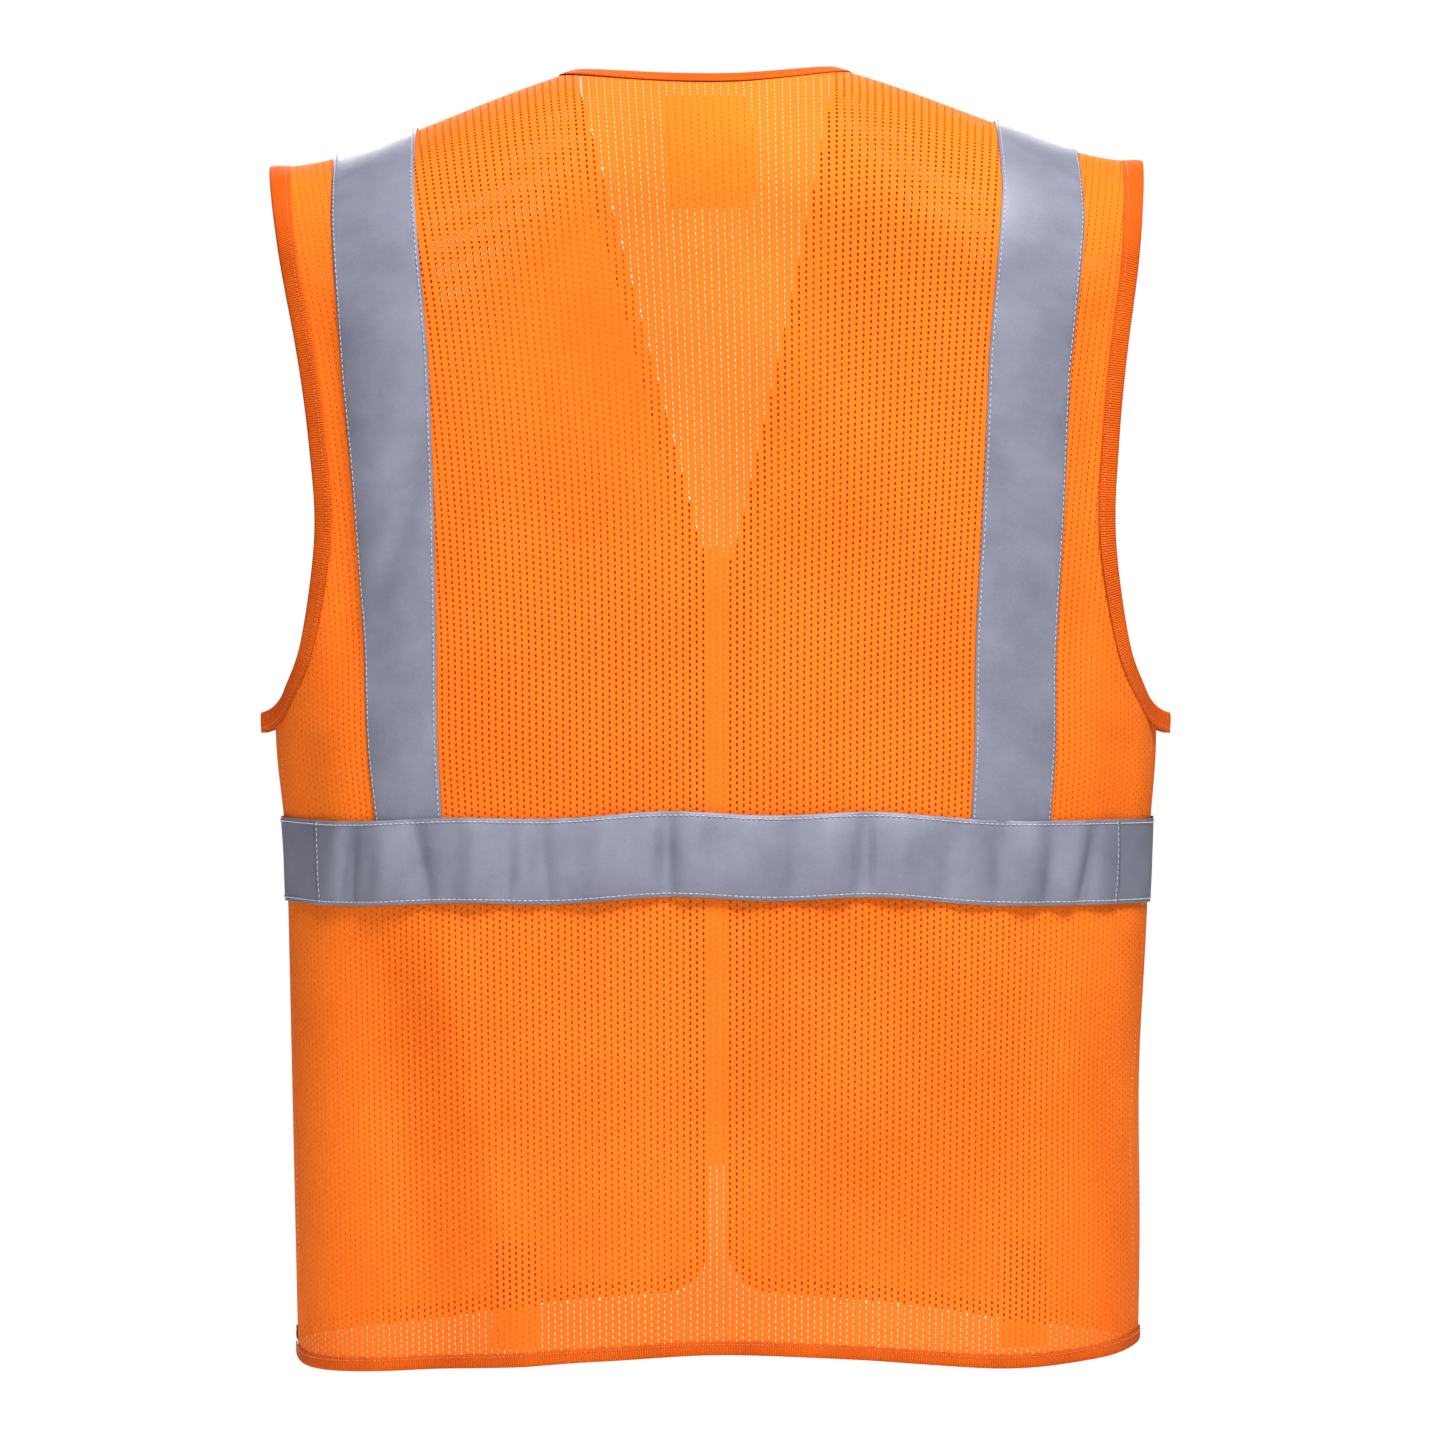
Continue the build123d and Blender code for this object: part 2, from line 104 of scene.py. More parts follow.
def half_width(drop):
    flare = 0.040 * np.maximum(0.0, 1 - drop / UNDERARM) ** 2
    return UNDERARM_HALF - 0.0207 * (drop - UNDERARM) + flare


def across(turn):
    return (np.cos(turn) - SQUARENESS * np.cos(3 * turn)) / (1 - SQUARENESS)


def bare_point(turn, drop, side):
    """The smooth worn surface: turn from the wearer's left to right, drop below the shoulder line."""
    deep = (np.sin(turn) + SQUARENESS * np.sin(3 * turn)) / (1 - SQUARENESS)
    round_over = np.sqrt(np.clip(1 - (1 - np.clip(drop, 0, ROUNDING) / ROUNDING) ** 2, 0, 1))
    x = half_width(drop) * across(turn)
    z = shoulder_line(x) * np.maximum(0.0, 1 - drop / LENGTH) - drop
    return np.stack([x, side * HALF_DEPTH * deep * round_over, z], -1)


def bump(value, middle, width):
    return np.exp(-((value - middle) / width) ** 2)


# each fold: where it is across the body, the heights of its ends, its lean, width and depth
BACK_FOLDS = [
    (0.205, -0.46, -0.80, -0.045, 0.020, -0.0060),
    (0.168, -0.47, -0.80, -0.060, 0.016, 0.0045),
    (0.100, -0.48, -0.82, -0.030, 0.022, -0.0022),
    (-0.232, -0.52, -0.80, -0.030, 0.017, -0.0060),
    (-0.196, -0.50, -0.80, -0.045, 0.019, 0.0048),
    (-0.120, -0.50, -0.80, -0.020, 0.024, -0.0020),
    (0.226, -0.08, -0.30, -0.012, 0.012, -0.0040),
    (-0.224, -0.08, -0.30, 0.010, 0.012, -0.0036),
    (0.240, -0.36, -0.47, 0.006, 0.013, -0.0055),
    (-0.236, -0.35, -0.47, -0.006, 0.013, -0.0050),
    (0.016, -0.10, -0.40, 0.020, 0.030, 0.0018),
    (-0.090, -0.12, -0.42, -0.030, 0.026, -0.0018),
    (0.120, -0.15, -0.42, 0.026, 0.024, 0.0020),
]
FRONT_FOLDS = [
    (0.190, -0.46, -0.78, -0.03, 0.020, -0.0055),
    (0.135, -0.12, -0.44, 0.02, 0.022, -0.0030),
    (-0.185, -0.48, -0.78, -0.03, 0.020, -0.0050),
    (-0.140, -0.14, -0.44, -0.02, 0.022, 0.0026),
    (0.100, -0.50, -0.76, 0.02, 0.024, 0.0030),
    (-0.095, -0.50, -0.76, -0.02, 0.024, 0.0030),
]


def fold_depth(turn, drop, side):
    """How far the cloth stands off the smooth surface, in folds hung from the shoulders and the band."""
    place = half_width(drop) * across(turn)
    height = -drop
    depth = np.zeros_like(place)
    for x, top, low, lean, width, deep in (BACK_FOLDS if side == BACK else FRONT_FOLDS):
        share = (height - top) / (low - top)
        fade = np.clip(share * 4, 0, 1) * np.clip((1.25 - share) * 4, 0, 1)
        fade = fade * fade * (3 - 2 * fade)
        depth += deep * fade * bump(place, x + lean * share, width)
    slack = 0.0011 * np.sin(place * 46 + 3.1 * height) * np.sin(height * 17 + side + place * 5)
    flare = np.clip((-height - 0.52) / 0.24, 0, 1) ** 2
    wave = 0.0042 * np.sin(place * 27 + 1.1 * side) * flare
    calm = np.clip(np.abs(place) / 0.03, 0, 1) if side == FRONT else 1.0
    at_side = np.clip((np.abs(np.sin(turn)) - 0.05) / 0.2, 0, 1)
    return (depth + slack + wave) * calm * at_side * np.clip(drop / 0.03, 0, 1)


def surface(turn, drop, side, off=0.0):
    """The cloth's outer face, and points at a distance off it; also returns the normal."""
    turn, drop = np.broadcast_arrays(np.asarray(turn, float), np.asarray(drop, float))
    step = 1e-4
    base = bare_point(turn, drop, side)
    low = np.maximum(drop - step, 0)
    along = bare_point(turn + step, drop, side) - bare_point(turn - step, drop, side)
    down = bare_point(turn, drop + step, side) - bare_point(turn, low, side)
    normal = np.cross(along, down) * -side
    normal /= np.maximum(np.linalg.norm(normal, axis=-1, keepdims=True), 1e-12)
    folded = fold_depth(turn, drop, side)[..., None] * np.array([0.0, side, 0.0])
    return settled(base + folded + normal * (off + np.zeros(turn.shape))[..., None]), normal


def settled(point):
    """The worn shape's unevenness: the shoulders lean to one side, and one sits higher than the other."""
    point = point.copy()
    x, z = point[..., 0].copy(), point[..., 2].copy()
    top = np.clip((z + 0.28) / 0.28, 0, 1.15) ** 1.5
    left = np.clip((x - 0.10) / 0.12, 0, 1)
    right = np.clip((-x - 0.02) / 0.16, 0, 1)
    yoke = np.clip((z + 0.16) / 0.12, 0, 1) ** 1.5
    point[..., 0] += LEAN * top + 0.0034 * left * np.clip((z + 0.47) / 0.10, 0, 1)
    point[..., 0] += 0.0030 * np.sign(x) * bump(z, -0.405, 0.035) * np.clip(np.abs(x) / 0.2 - 0.4, 0, 1)
    point[..., 0] += 0.0030 * bump(z, -0.60, 0.07) * np.clip((-x - 0.15) / 0.10, 0, 1)
    point[..., 2] += yoke * (0.0026 + 0.0046 * right)
    return point


def turn_at(x, drop):
    """The turn whose point is at x, on a level."""
    target = np.clip(x / half_width(drop), -1, 1) * (1 - SQUARENESS)
    c = np.clip(x / half_width(drop), -1, 1)
    for _ in range(8):
        value = c * (1 + 3 * SQUARENESS) - 4 * SQUARENESS * c ** 3 - target
        c = c - value / (1 + 3 * SQUARENESS - 12 * SQUARENESS * c ** 2)
    return np.arccos(np.clip(c, -1, 1))


def place(x, z):
    """Turn and drop of the surface point seen at x and z."""
    x, z = np.asarray(x, float), np.asarray(z, float)
    crown = shoulder_line(x)
    drop = np.where(-z < LENGTH, (crown - z) / (1 + crown / LENGTH), -z)
    drop = np.maximum(drop, 0)
    return turn_at(x, drop), drop


def girth_turns(step, drop=0.45):
    """Turns spaced evenly along the cloth at one level, symmetric about the middle."""
    fine = np.linspace(0, pi, 4001)
    ring = bare_point(fine, np.full_like(fine, drop), BACK)
    length = np.concatenate([[0], np.cumsum(np.linalg.norm(np.diff(ring, axis=0), axis=1))])
    count = int(length[-1] / 2 / step)
    at = length[-1] / 2 + step * np.arange(-count, count + 1)
    return np.interp(at, length, fine), lambda s: np.interp(length[-1] / 2 + s, length, fine)


def run_table(low=0.82):
    """Drops, and the distance down the middle of the back from the shoulder line to each."""
    rounding = ROUNDING * (1 - np.cos(np.linspace(0, pi / 2, 400)))
    fine = np.concatenate([rounding, np.linspace(ROUNDING, low, 800)[1:]])
    middle = bare_point(np.full_like(fine, pi / 2), fine, BACK)
    return fine, np.concatenate([[0], np.cumsum(np.linalg.norm(np.diff(middle, axis=0), axis=1))])


DROP_TABLE, RUN_TABLE = run_table()


def drops(step, low=0.80):
    """Drops spaced evenly down the cloth, from the shoulder line over the rounding to below the hem."""
    return np.interp(np.arange(0, np.interp(low, DROP_TABLE, RUN_TABLE), step), RUN_TABLE, DROP_TABLE)


# ---- outlines ------------------------------------------------------------------------
def smooth_line(points, step=0.003):
    """A smooth curve through given points, as points a step apart."""
    points = np.array(points, float)
    count = len(points)
    padded = np.vstack([2 * points[0] - points[1], points, 2 * points[-1] - points[-2]])
    out = []
    for i in range(count - 1):
        a, b, c, d = padded[i:i + 4]
        share = np.linspace(0, 1, 40, endpoint=False)[:, None]
        out.append(0.5 * (2 * b + (c - a) * share + (2 * a - 5 * b + 4 * c - d) * share ** 2
                          + (3 * b - a - 3 * c + d) * share ** 3))
    out.append(points[-1:])
    return even(np.vstack(out), step)


def even(points, step):
    length = np.concatenate([[0], np.cumsum(np.linalg.norm(np.diff(points, axis=0), axis=1))])
    count = max(2, int(length[-1] / step) + 1)
    at = np.linspace(0, length[-1], count)
    return np.stack([np.interp(at, length, points[:, i]) for i in range(points.shape[1])], -1)


def armhole_line():
    """From the shoulder tip down to the underarm, in x and z, on the wearer's left."""
    tip = SHOULDER_HALF - 0.001
    return smooth_line([
        (tip, shoulder_line(tip)), (tip - 0.007, -0.113), (tip - 0.0165, -0.172), (tip - 0.0225, -0.225),
        (tip - 0.0250, -0.280), (tip - 0.0165, -0.341), (tip - 0.0060, -0.371), (UNDERARM_HALF, -UNDERARM),
    ], 0.0025)


def neck_line():
    """Round the back neckline from the wearer's left to the right."""
    seam = shoulder_line(NECK_HALF)
    x = np.linspace(NECK_HALF, -NECK_HALF, 61)
    return np.stack([x, BACK_NECK + (seam - BACK_NECK) * (x / NECK_HALF) ** 2], -1)


def front_edge_line():
    """Down the V, the front edge, round the corner and along the hem to the side, on the left."""
    seam = shoulder_line(NECK_HALF)
    v_edge = [(NECK_HALF, seam), (V_HALF, V_LOW), (GAP_HALF, V_LOW - 0.016)]
    bend = np.linspace(pi, 1.5 * pi, 16)
    corner = np.stack([GAP_HALF + CORNER + CORNER * np.cos(bend),
                       FRONT_HEM + CORNER + CORNER * np.sin(bend)], -1)
    side = half_width(-FRONT_HEM)
    hem = smooth_line([tuple(corner[-1]), (0.100, -0.748), (0.180, -0.757), (side, -0.761)])
    return even(np.vstack([v_edge, corner, hem[1:]]), 0.003)


def back_hem_line():
    """The back hem from the wearer's right to left: a slow dip each side, lowest at the left end."""
    return smooth_line([
        (-0.2575, -0.7590), (-0.226, -0.7650), (-0.167, -0.7690), (-0.078, -0.7625), (0.0, -0.7590),
        (0.070, -0.7635), (0.129, -0.7680), (0.176, -0.7705), (0.2385, -0.7730), (0.2570, -0.7665),
    ])


def back_hem_z(x):
    return np.interp(x, BACK_HEM[:, 0], BACK_HEM[:, 1])


ARMHOLE = armhole_line()
FRONT_EDGE = front_edge_line()
BACK_HEM = back_hem_line()


def inside_armhole(x, z, inset=0.0):
    """Whether a point is on the body's side of both armholes."""
    edge = np.interp(-z, -ARMHOLE[:, 1], ARMHOLE[:, 0], left=ARMHOLE[0, 0], right=9.0)
    return np.abs(x) < edge - inset


# ---- mesh making ---------------------------------------------------------------------
def new_mesh(name, points, faces, material, uv=None, smooth=True):
    """A mesh object from arrays; faces is an array of quads or a list."""
    mesh = bpy.data.meshes.new(name)
    points = np.asarray(points, np.float32).reshape(-1, 3)
    faces = np.asarray(faces, np.int32)
    size = faces.shape[1]
    mesh.vertices.add(len(points))
    mesh.vertices.foreach_set("co", points.ravel())
    mesh.loops.add(faces.size)
    mesh.loops.foreach_set("vertex_index", faces.ravel())
    mesh.polygons.add(len(faces))
    mesh.polygons.foreach_set("loop_start", np.arange(0, faces.size, size, dtype=np.int32))
    mesh.polygons.foreach_set("use_smooth", np.full(len(faces), smooth, bool))
    mesh.update(calc_edges=True)
    if uv is not None:
        layer = mesh.uv_layers.new(name="UVMap")
        layer.data.foreach_set("uv", np.asarray(uv, np.float32).reshape(-1, 2)[faces.ravel()].ravel())
    mesh.validate()
    mesh.materials.append(material)
    piece = bpy.data.objects.new(name, mesh)
    bpy.context.collection.objects.link(piece)
    return piece


def grid_faces(rows, columns, close=False):
    """Quads of a grid of points; close joins the last column to the first."""
    i = np.arange(rows - 1)[:, None]
    j = np.arange(columns if close else columns - 1)[None, :]
    k = (j + 1) % columns
    quads = np.stack([i * columns + j, i * columns + k, (i + 1) * columns + k, (i + 1) * columns + j], -1)
    return quads.reshape(-1, 4)


def drop_loose(points, faces, uv):
    used = np.unique(faces)
    fresh = np.full(len(points), -1)
    fresh[used] = np.arange(len(used))
    return points[used], fresh[faces], uv[used]


# ---- materials -----------------------------------------------------------------------
def shader(name, rough=0.8, **sockets):
    """A material with its Principled shader and the handles that the recipes below use."""
    material = bpy.data.materials.new(name)
    material.use_nodes = True
    tree = material.node_tree
    bsdf = tree.nodes["Principled BSDF"]
    bsdf.inputs["Roughness"].default_value = rough
    for socket, value in sockets.items():
        bsdf.inputs[socket.replace("_", " ")].default_value = value
    return material, tree, bsdf


def add_node(tree, kind, values=None, **links):
    """A node with its input values set by name and its links made."""
    new = tree.nodes.new(kind)
    for key, value in (values or {}).items():
        if key in new.inputs:
            new.inputs[key].default_value = value
        else:
            setattr(new, key, value)
    for key, source in links.items():
        tree.links.new(source, new.inputs[key.replace("_", " ")])
    return new


def ramp(tree, factor, stops):
    """A colour ramp from (place, colour) stops."""
    new = tree.nodes.new("ShaderNodeValToRGB")
    tree.links.new(factor, new.inputs["Fac"])
    elements = new.color_ramp.elements
    while len(elements) < len(stops):
        elements.new(0.5)
    for element, (at, colour) in zip(elements, stops):
        element.position = at
        element.color = (*colour, 1)
    return new.outputs["Color"]


def mixed(tree, a, b, factor, mode="MIX"):
    """Colour a mixed with b; each may be a colour or a socket."""
    new = tree.nodes.new("ShaderNodeMix")
    new.data_type = "RGBA"
    new.blend_type = mode
    for socket, value in ((new.inputs[6], a), (new.inputs[7], b), (new.inputs[0], factor)):
        if isinstance(value, bpy.types.NodeSocket):
            tree.links.new(value, socket)
        else:
            socket.default_value = (*value, 1) if isinstance(value, tuple) else value
    return new.outputs[2]


def maths(tree, operation, a, b=None, c=None):
    new = tree.nodes.new("ShaderNodeMath")
    new.operation = operation
    for socket, value in zip(new.inputs, (a, b, c)):
        if isinstance(value, bpy.types.NodeSocket):
            tree.links.new(value, socket)
        elif value is not None:
            socket.default_value = value
    return new.outputs[0]


def bumped(tree, bsdf, height, distance, strength=1.0):
    new = add_node(tree, "ShaderNodeBump", {"Strength": strength, "Distance": distance}, Height=height)
    tree.links.new(new.outputs["Normal"], bsdf.inputs["Normal"])


def uv_parts(tree):
    """The two UV coordinates, in metres along the cloth."""
    uv = add_node(tree, "ShaderNodeUVMap")
    parts = add_node(tree, "ShaderNodeSeparateXYZ", Vector=uv.outputs["UV"])
    return uv.outputs["UV"], parts.outputs["X"], parts.outputs["Y"]


def knit_material(name, light, deep):
    """Warp-knitted polyester: fine wale ribs, stitch loops, and slow changes of shade; painted shade in the
    grooves between ribs and loops, and a faint painted glow.
    """
    material, tree, bsdf = shader(name, 0.85, Specular_IOR_Level=0.06)
    uv, u, v = uv_parts(tree)
    slow = add_node(tree, "ShaderNodeTexNoise", {"Scale": 9.0, "Detail": 3.0}, Vector=uv)
    fine = add_node(tree, "ShaderNodeTexNoise", {"Scale": 620.0, "Detail": 2.0}, Vector=uv)
    ribs = maths(tree, "SINE", maths(tree, "MULTIPLY", u, 2 * pi / (WALE / 3)))
    loops = maths(tree, "SINE", maths(tree, "MULTIPLY", v, 2 * pi / (COURSE / 4)))
    relief = maths(tree, "MULTIPLY_ADD", ribs, 0.35, maths(tree, "MULTIPLY", loops, 0.3))
    shade = ramp(tree, slow.outputs["Fac"], [(0.3, deep), (0.62, light)])
    # painted shade: the colour is darker where the ribs and loops sink, as if shade lay in their grooves
    painted_rib_shade = ramp(tree, maths(tree, "MULTIPLY_ADD", relief, 0.5, 0.5),
                [(0.0, (0.80, 0.74, 0.7)), (0.7, (1, 1, 1))])
    colour = mixed(tree, shade, painted_rib_shade, 0.7, "MULTIPLY")
    speck = ramp(tree, fine.outputs["Fac"], [(0.35, (0.86, 0.82, 0.8)), (0.65, (1, 1, 1))])
    colour = mixed(tree, colour, speck, 0.6, "MULTIPLY")
    tree.links.new(colour, bsdf.inputs["Base Color"])
    # painted glow: the cloth gives off a faint light of its own colour
    tree.links.new(colour, bsdf.inputs["Emission Color"])
    bsdf.inputs["Emission Strength"].default_value = 0.02
    height = maths(tree, "MULTIPLY_ADD", fine.outputs["Fac"], 0.4, relief)
    bumped(tree, bsdf, height, 0.00025, 0.6)
    return material


def binding_material(name, light, deep, rib):
    """Ribbed knitted binding: short ribs across the strip, with painted shade between them, and a faint
    painted glow.
    """
    material, tree, bsdf = shader(name, 0.85, Specular_IOR_Level=0.08)
    uv, u, _ = uv_parts(tree)
    fine = add_node(tree, "ShaderNodeTexNoise", {"Scale": 900.0, "Detail": 2.0}, Vector=uv)
    slow = add_node(tree, "ShaderNodeTexNoise", {"Scale": 22.0, "Detail": 2.0}, Vector=uv)
    ribs = maths(tree, "SINE", maths(tree, "MULTIPLY", u, 2 * pi / rib))
    shade = ramp(tree, slow.outputs["Fac"], [(0.3, deep), (0.65, light)])
    # painted shade: the colour is darker in the grooves between the ribs
    painted_groove_shade = ramp(tree, maths(tree, "MULTIPLY_ADD", ribs, 0.5, 0.5),
                  [(0.0, (0.72, 0.6, 0.55)), (0.6, (1, 1, 1))])
    colour = mixed(tree, shade, painted_groove_shade, 0.75, "MULTIPLY")
    tree.links.new(colour, bsdf.inputs["Base Color"])
    # painted glow: the binding gives off a faint light of its own colour
    tree.links.new(colour, bsdf.inputs["Emission Color"])
    bsdf.inputs["Emission Strength"].default_value = 0.02
    bumped(tree, bsdf, maths(tree, "MULTIPLY_ADD", fine.outputs["Fac"], 0.5, ribs), 0.0003, 0.7)
    return material


def reflective_material():
    """Glass-bead tape: grey-lavender with a fine grain, soft streaks and a dull sheen."""
    material, tree, bsdf = shader("reflective_tape", 0.5, Metallic=0.1, Specular_IOR_Level=0.35)
    uv, _, _ = uv_parts(tree)
    beads = add_node(tree, "ShaderNodeTexVoronoi", {"Scale": 2600.0}, Vector=uv)
    cloud = add_node(tree, "ShaderNodeTexNoise", {"Scale": 26.0, "Detail": 4.0, "Roughness": 0.6}, Vector=uv)
    weave = add_node(tree, "ShaderNodeTexNoise", {"Scale": 750.0, "Detail": 2.0}, Vector=uv)
    base = ramp(tree, cloud.outputs["Fac"], [(0.3, (0.130, 0.135, 0.180)), (0.7, (0.185, 0.188, 0.240))])
    grain = ramp(tree, beads.outputs["Distance"], [(0.0, (1, 1, 1)), (0.9, (0.80, 0.80, 0.82))])
    colour = mixed(tree, base, grain, 0.6, "MULTIPLY")
    thread = ramp(tree, weave.outputs["Fac"], [(0.35, (0.90, 0.90, 0.90)), (0.65, (1, 1, 1))])
    colour = mixed(tree, colour, thread, 0.6, "MULTIPLY")
    tree.links.new(colour, bsdf.inputs["Base Color"])
    rough = ramp(tree, cloud.outputs["Fac"], [(0.2, (0.42,) * 3), (0.8, (0.58,) * 3)])
    tree.links.new(rough, bsdf.inputs["Roughness"])
    height = maths(tree, "MULTIPLY_ADD", weave.outputs["Fac"], 0.6, beads.outputs["Distance"])
    bumped(tree, bsdf, height, 0.00012, 0.5)
    return material


def thread_material(name, light, deep):
    """Twisted sewing thread."""
    material, tree, bsdf = shader(name, 0.55, Sheen_Weight=0.3)
    where = add_node(tree, "ShaderNodeNewGeometry").outputs["Position"]
    twist = add_node(tree, "ShaderNodeTexNoise", {"Scale": 1400.0, "Detail": 1.0}, Vector=where)
    tree.links.new(ramp(tree, twist.outputs["Fac"], [(0.35, deep), (0.6, light)]), bsdf.inputs["Base Color"])
    bumped(tree, bsdf, twist.outputs["Fac"], 0.0001, 0.5)
    return material


def label_material(name, light, deep):
    """Woven satin: a fine even weave with a soft shine."""
    material, tree, bsdf = shader(name, 0.6, Specular_IOR_Level=0.15)
    _, u, v = uv_parts(tree)
    warp = maths(tree, "SINE", maths(tree, "MULTIPLY", u, 2 * pi / 0.0006))
    weft = maths(tree, "SINE", maths(tree, "MULTIPLY", v, 2 * pi / 0.0006))
    weave = maths(tree, "MULTIPLY", warp, weft)
    shade = ramp(tree, maths(tree, "MULTIPLY_ADD", weave, 0.5, 0.5), [(0.2, deep), (0.8, light)])
    tree.links.new(shade, bsdf.inputs["Base Color"])
    bumped(tree, bsdf, weave, 0.0001, 0.6)
    return material


def moulded_material(name, light, deep, rough, metallic=0.0):
    """Moulded plastic or enamelled metal, with slight mottling and handling wear."""
    material, tree, bsdf = shader(name, rough, Metallic=metallic, Specular_IOR_Level=0.3)
    where = add_node(tree, "ShaderNodeNewGeometry").outputs["Position"]
    mottle = add_node(tree, "ShaderNodeTexNoise", {"Scale": 420.0, "Detail": 3.0}, Vector=where)
    tree.links.new(ramp(tree, mottle.outputs["Fac"], [(0.3, deep), (0.62, light)]), bsdf.inputs["Base Color"])
    rough_map = ramp(tree, mottle.outputs["Fac"], [(0.3, (rough + 0.12,) * 3), (0.7, (rough - 0.08,) * 3)])
    tree.links.new(rough_map, bsdf.inputs["Roughness"])
    bumped(tree, bsdf, mottle.outputs["Fac"], 0.00006, 0.4)
    return material


MESH = knit_material("mesh_cloth", (0.74, 0.150, 0.0120), (0.70, 0.125, 0.0090))
BINDING = binding_material("binding_rib", (0.58, 0.092, 0.004), (0.48, 0.066, 0.003), 0.0014)
TAPE = reflective_material()
TAPE_THREAD = thread_material("tape_thread", (0.42, 0.42, 0.46), (0.26, 0.26, 0.30))
BINDING_THREAD = thread_material("binding_thread", (0.60, 0.12, 0.02), (0.34, 0.05, 0.006))
LABEL = label_material("label_satin", (0.72, 0.25, 0.045), (0.60, 0.18, 0.030))
TAB = label_material("tab_weave", (0.66, 0.110, 0.008), (0.54, 0.080, 0.006))
ZIP_TAPE = label_material("zip_tape_weave", (0.60, 0.098, 0.005), (0.46, 0.068, 0.003))
TOOTH = moulded_material("zip_tooth_plastic", (0.60, 0.100, 0.006), (0.48, 0.072, 0.004), 0.38)
METAL = moulded_material("zip_enamel", (0.60, 0.105, 0.008), (0.48, 0.078, 0.005), 0.32, 0.3)


# ---- strips, tapes and threads ---------------------------------------------------------
def at_line(line, side, off=0.0, step=0.0025):
    """Points of the worn surface a step apart along a line given in x and z, and their normals."""
    turn, drop = place(line[:, 0], line[:, 1])
    course = np.stack([turn, np.interp(drop, DROP_TABLE, RUN_TABLE)], -1)
    index = np.linspace(0, len(line) - 1, 12 * len(line))
    course = np.stack([np.interp(index, np.arange(len(line)), course[:, i]) for i in range(2)], -1)
    points, _ = surface(course[:, 0], np.interp(course[:, 1], RUN_TABLE, DROP_TABLE), side, off)
    length = arc_length(points)
    at = np.linspace(0, length[-1], max(3, int(length[-1] / step)))
    turn, run = (np.interp(at, length, course[:, i]) for i in range(2))
    return surface(turn, np.interp(run, RUN_TABLE, DROP_TABLE), side, off)


def strip_frame(points, normal):
    """For a line on the cloth: its direction, and the way across it in the cloth."""
    along = np.gradient(points, axis=0)
    along /= np.maximum(np.linalg.norm(along, axis=1, keepdims=True), 1e-9)
    over = np.cross(normal, along)
    over /= np.maximum(np.linalg.norm(over, axis=1, keepdims=True), 1e-9)
    return along, over


def arc_length(points):
    return np.concatenate([[0], np.cumsum(np.linalg.norm(np.diff(points, axis=0), axis=1))])


# the folded binding's section: across the strip (1 is its width) and off the cloth (1 is its thickness)
FOLDED = [
    (-1.0, 0.45), (-0.99, 0.80), (-0.93, 1.0), (-0.80, 0.86), (-0.66, 1.02), (-0.40, 1.16), (-0.16, 1.02),
    (-0.02, 0.55), (0.0, 0.0), (-0.02, -0.55), (-0.2, -1.0), (-0.5, -1.1), (-0.93, -1.0), (-1.0, -0.45),
    (-0.94, -0.35), (-0.50, -0.35), (-0.16, -0.32), (-0.10, 0.0), (-0.16, 0.32), (-0.50, 0.35), (-0.94, 0.35),
]


def swept_binding(name, points, normal, over, width, thick, swell=None):
    """A folded binding strip: its outer edge runs along the points, and it wraps the cloth both sides."""
    section = np.array(FOLDED)
    length = arc_length(points)
    swell = np.ones(len(points)) if swell is None else swell
    rows = []
    for reach, rise in section:
        rows.append(points + over * (reach * width * swell)[:, None] + normal * (rise * thick))
    ring = np.stack(rows, 1)
    count = len(section)
    girth = arc_length(section * [width, thick])
    uv = np.stack(np.broadcast_arrays(length[:, None], girth[None, :]), -1)
    return new_mesh(name, ring, grid_faces(len(points), count, True), BINDING, uv)


def threads(name, line, normal, material, stitch=0.0024, gap=0.0008, thick=0.00024, off=0.0003):
    """A row of lockstitches: short capsules that dip into the cloth at both ends."""
    length = arc_length(line)
    starts = np.arange(gap, length[-1] - stitch, stitch + gap)
    shares = np.array([0.0, 0.12, 0.5, 0.88, 1.0])
    at = starts[:, None] + shares[None, :] * stitch
    middle = np.stack([np.interp(at, length, line[:, i]) for i in range(3)], -1)
    up = np.stack([np.interp(at, length, normal[:, i]) for i in range(3)], -1)
    up /= np.linalg.norm(up, axis=-1, keepdims=True)
    along = middle[:, -1] - middle[:, 0]
    along /= np.maximum(np.linalg.norm(along, axis=1, keepdims=True), 1e-9)
    aside = np.cross(up, along[:, None, :])
    lift = np.array([-1.2, 0.3, 1.0, 0.3, -1.2]) * thick + off
    girth = np.array([0.35, 0.95, 1.0, 0.95, 0.35]) * thick
    angle = np.arange(4) * pi / 2
    ring = (middle + up * lift[None, :, None])[:, :, None, :] \
        + girth[None, :, None, None] * (aside[:, :, None, :] * np.cos(angle)[None, None, :, None] * 1.25
                                        + up[:, :, None, :] * np.sin(angle)[None, None, :, None])
    one = np.concatenate([grid_faces(5, 4, True), [[3, 2, 1, 0], [16, 17, 18, 19]]])
    faces = (one[None] + (np.arange(len(starts)) * 20)[:, None, None]).reshape(-1, 4)
    uv = np.zeros((ring.size // 3, 2))
    return new_mesh(name, ring, faces, material, uv)


def joined(name, pieces):
    """One object from several."""
    pieces = [piece for piece in pieces if piece]
    bpy.ops.object.select_all(action="DESELECT")
    for piece in pieces:
        piece.select_set(True)
    bpy.context.view_layer.objects.active = pieces[0]
    if len(pieces) > 1:
        bpy.ops.object.join()
    result = bpy.context.view_layer.objects.active
    result.name = name
    return result


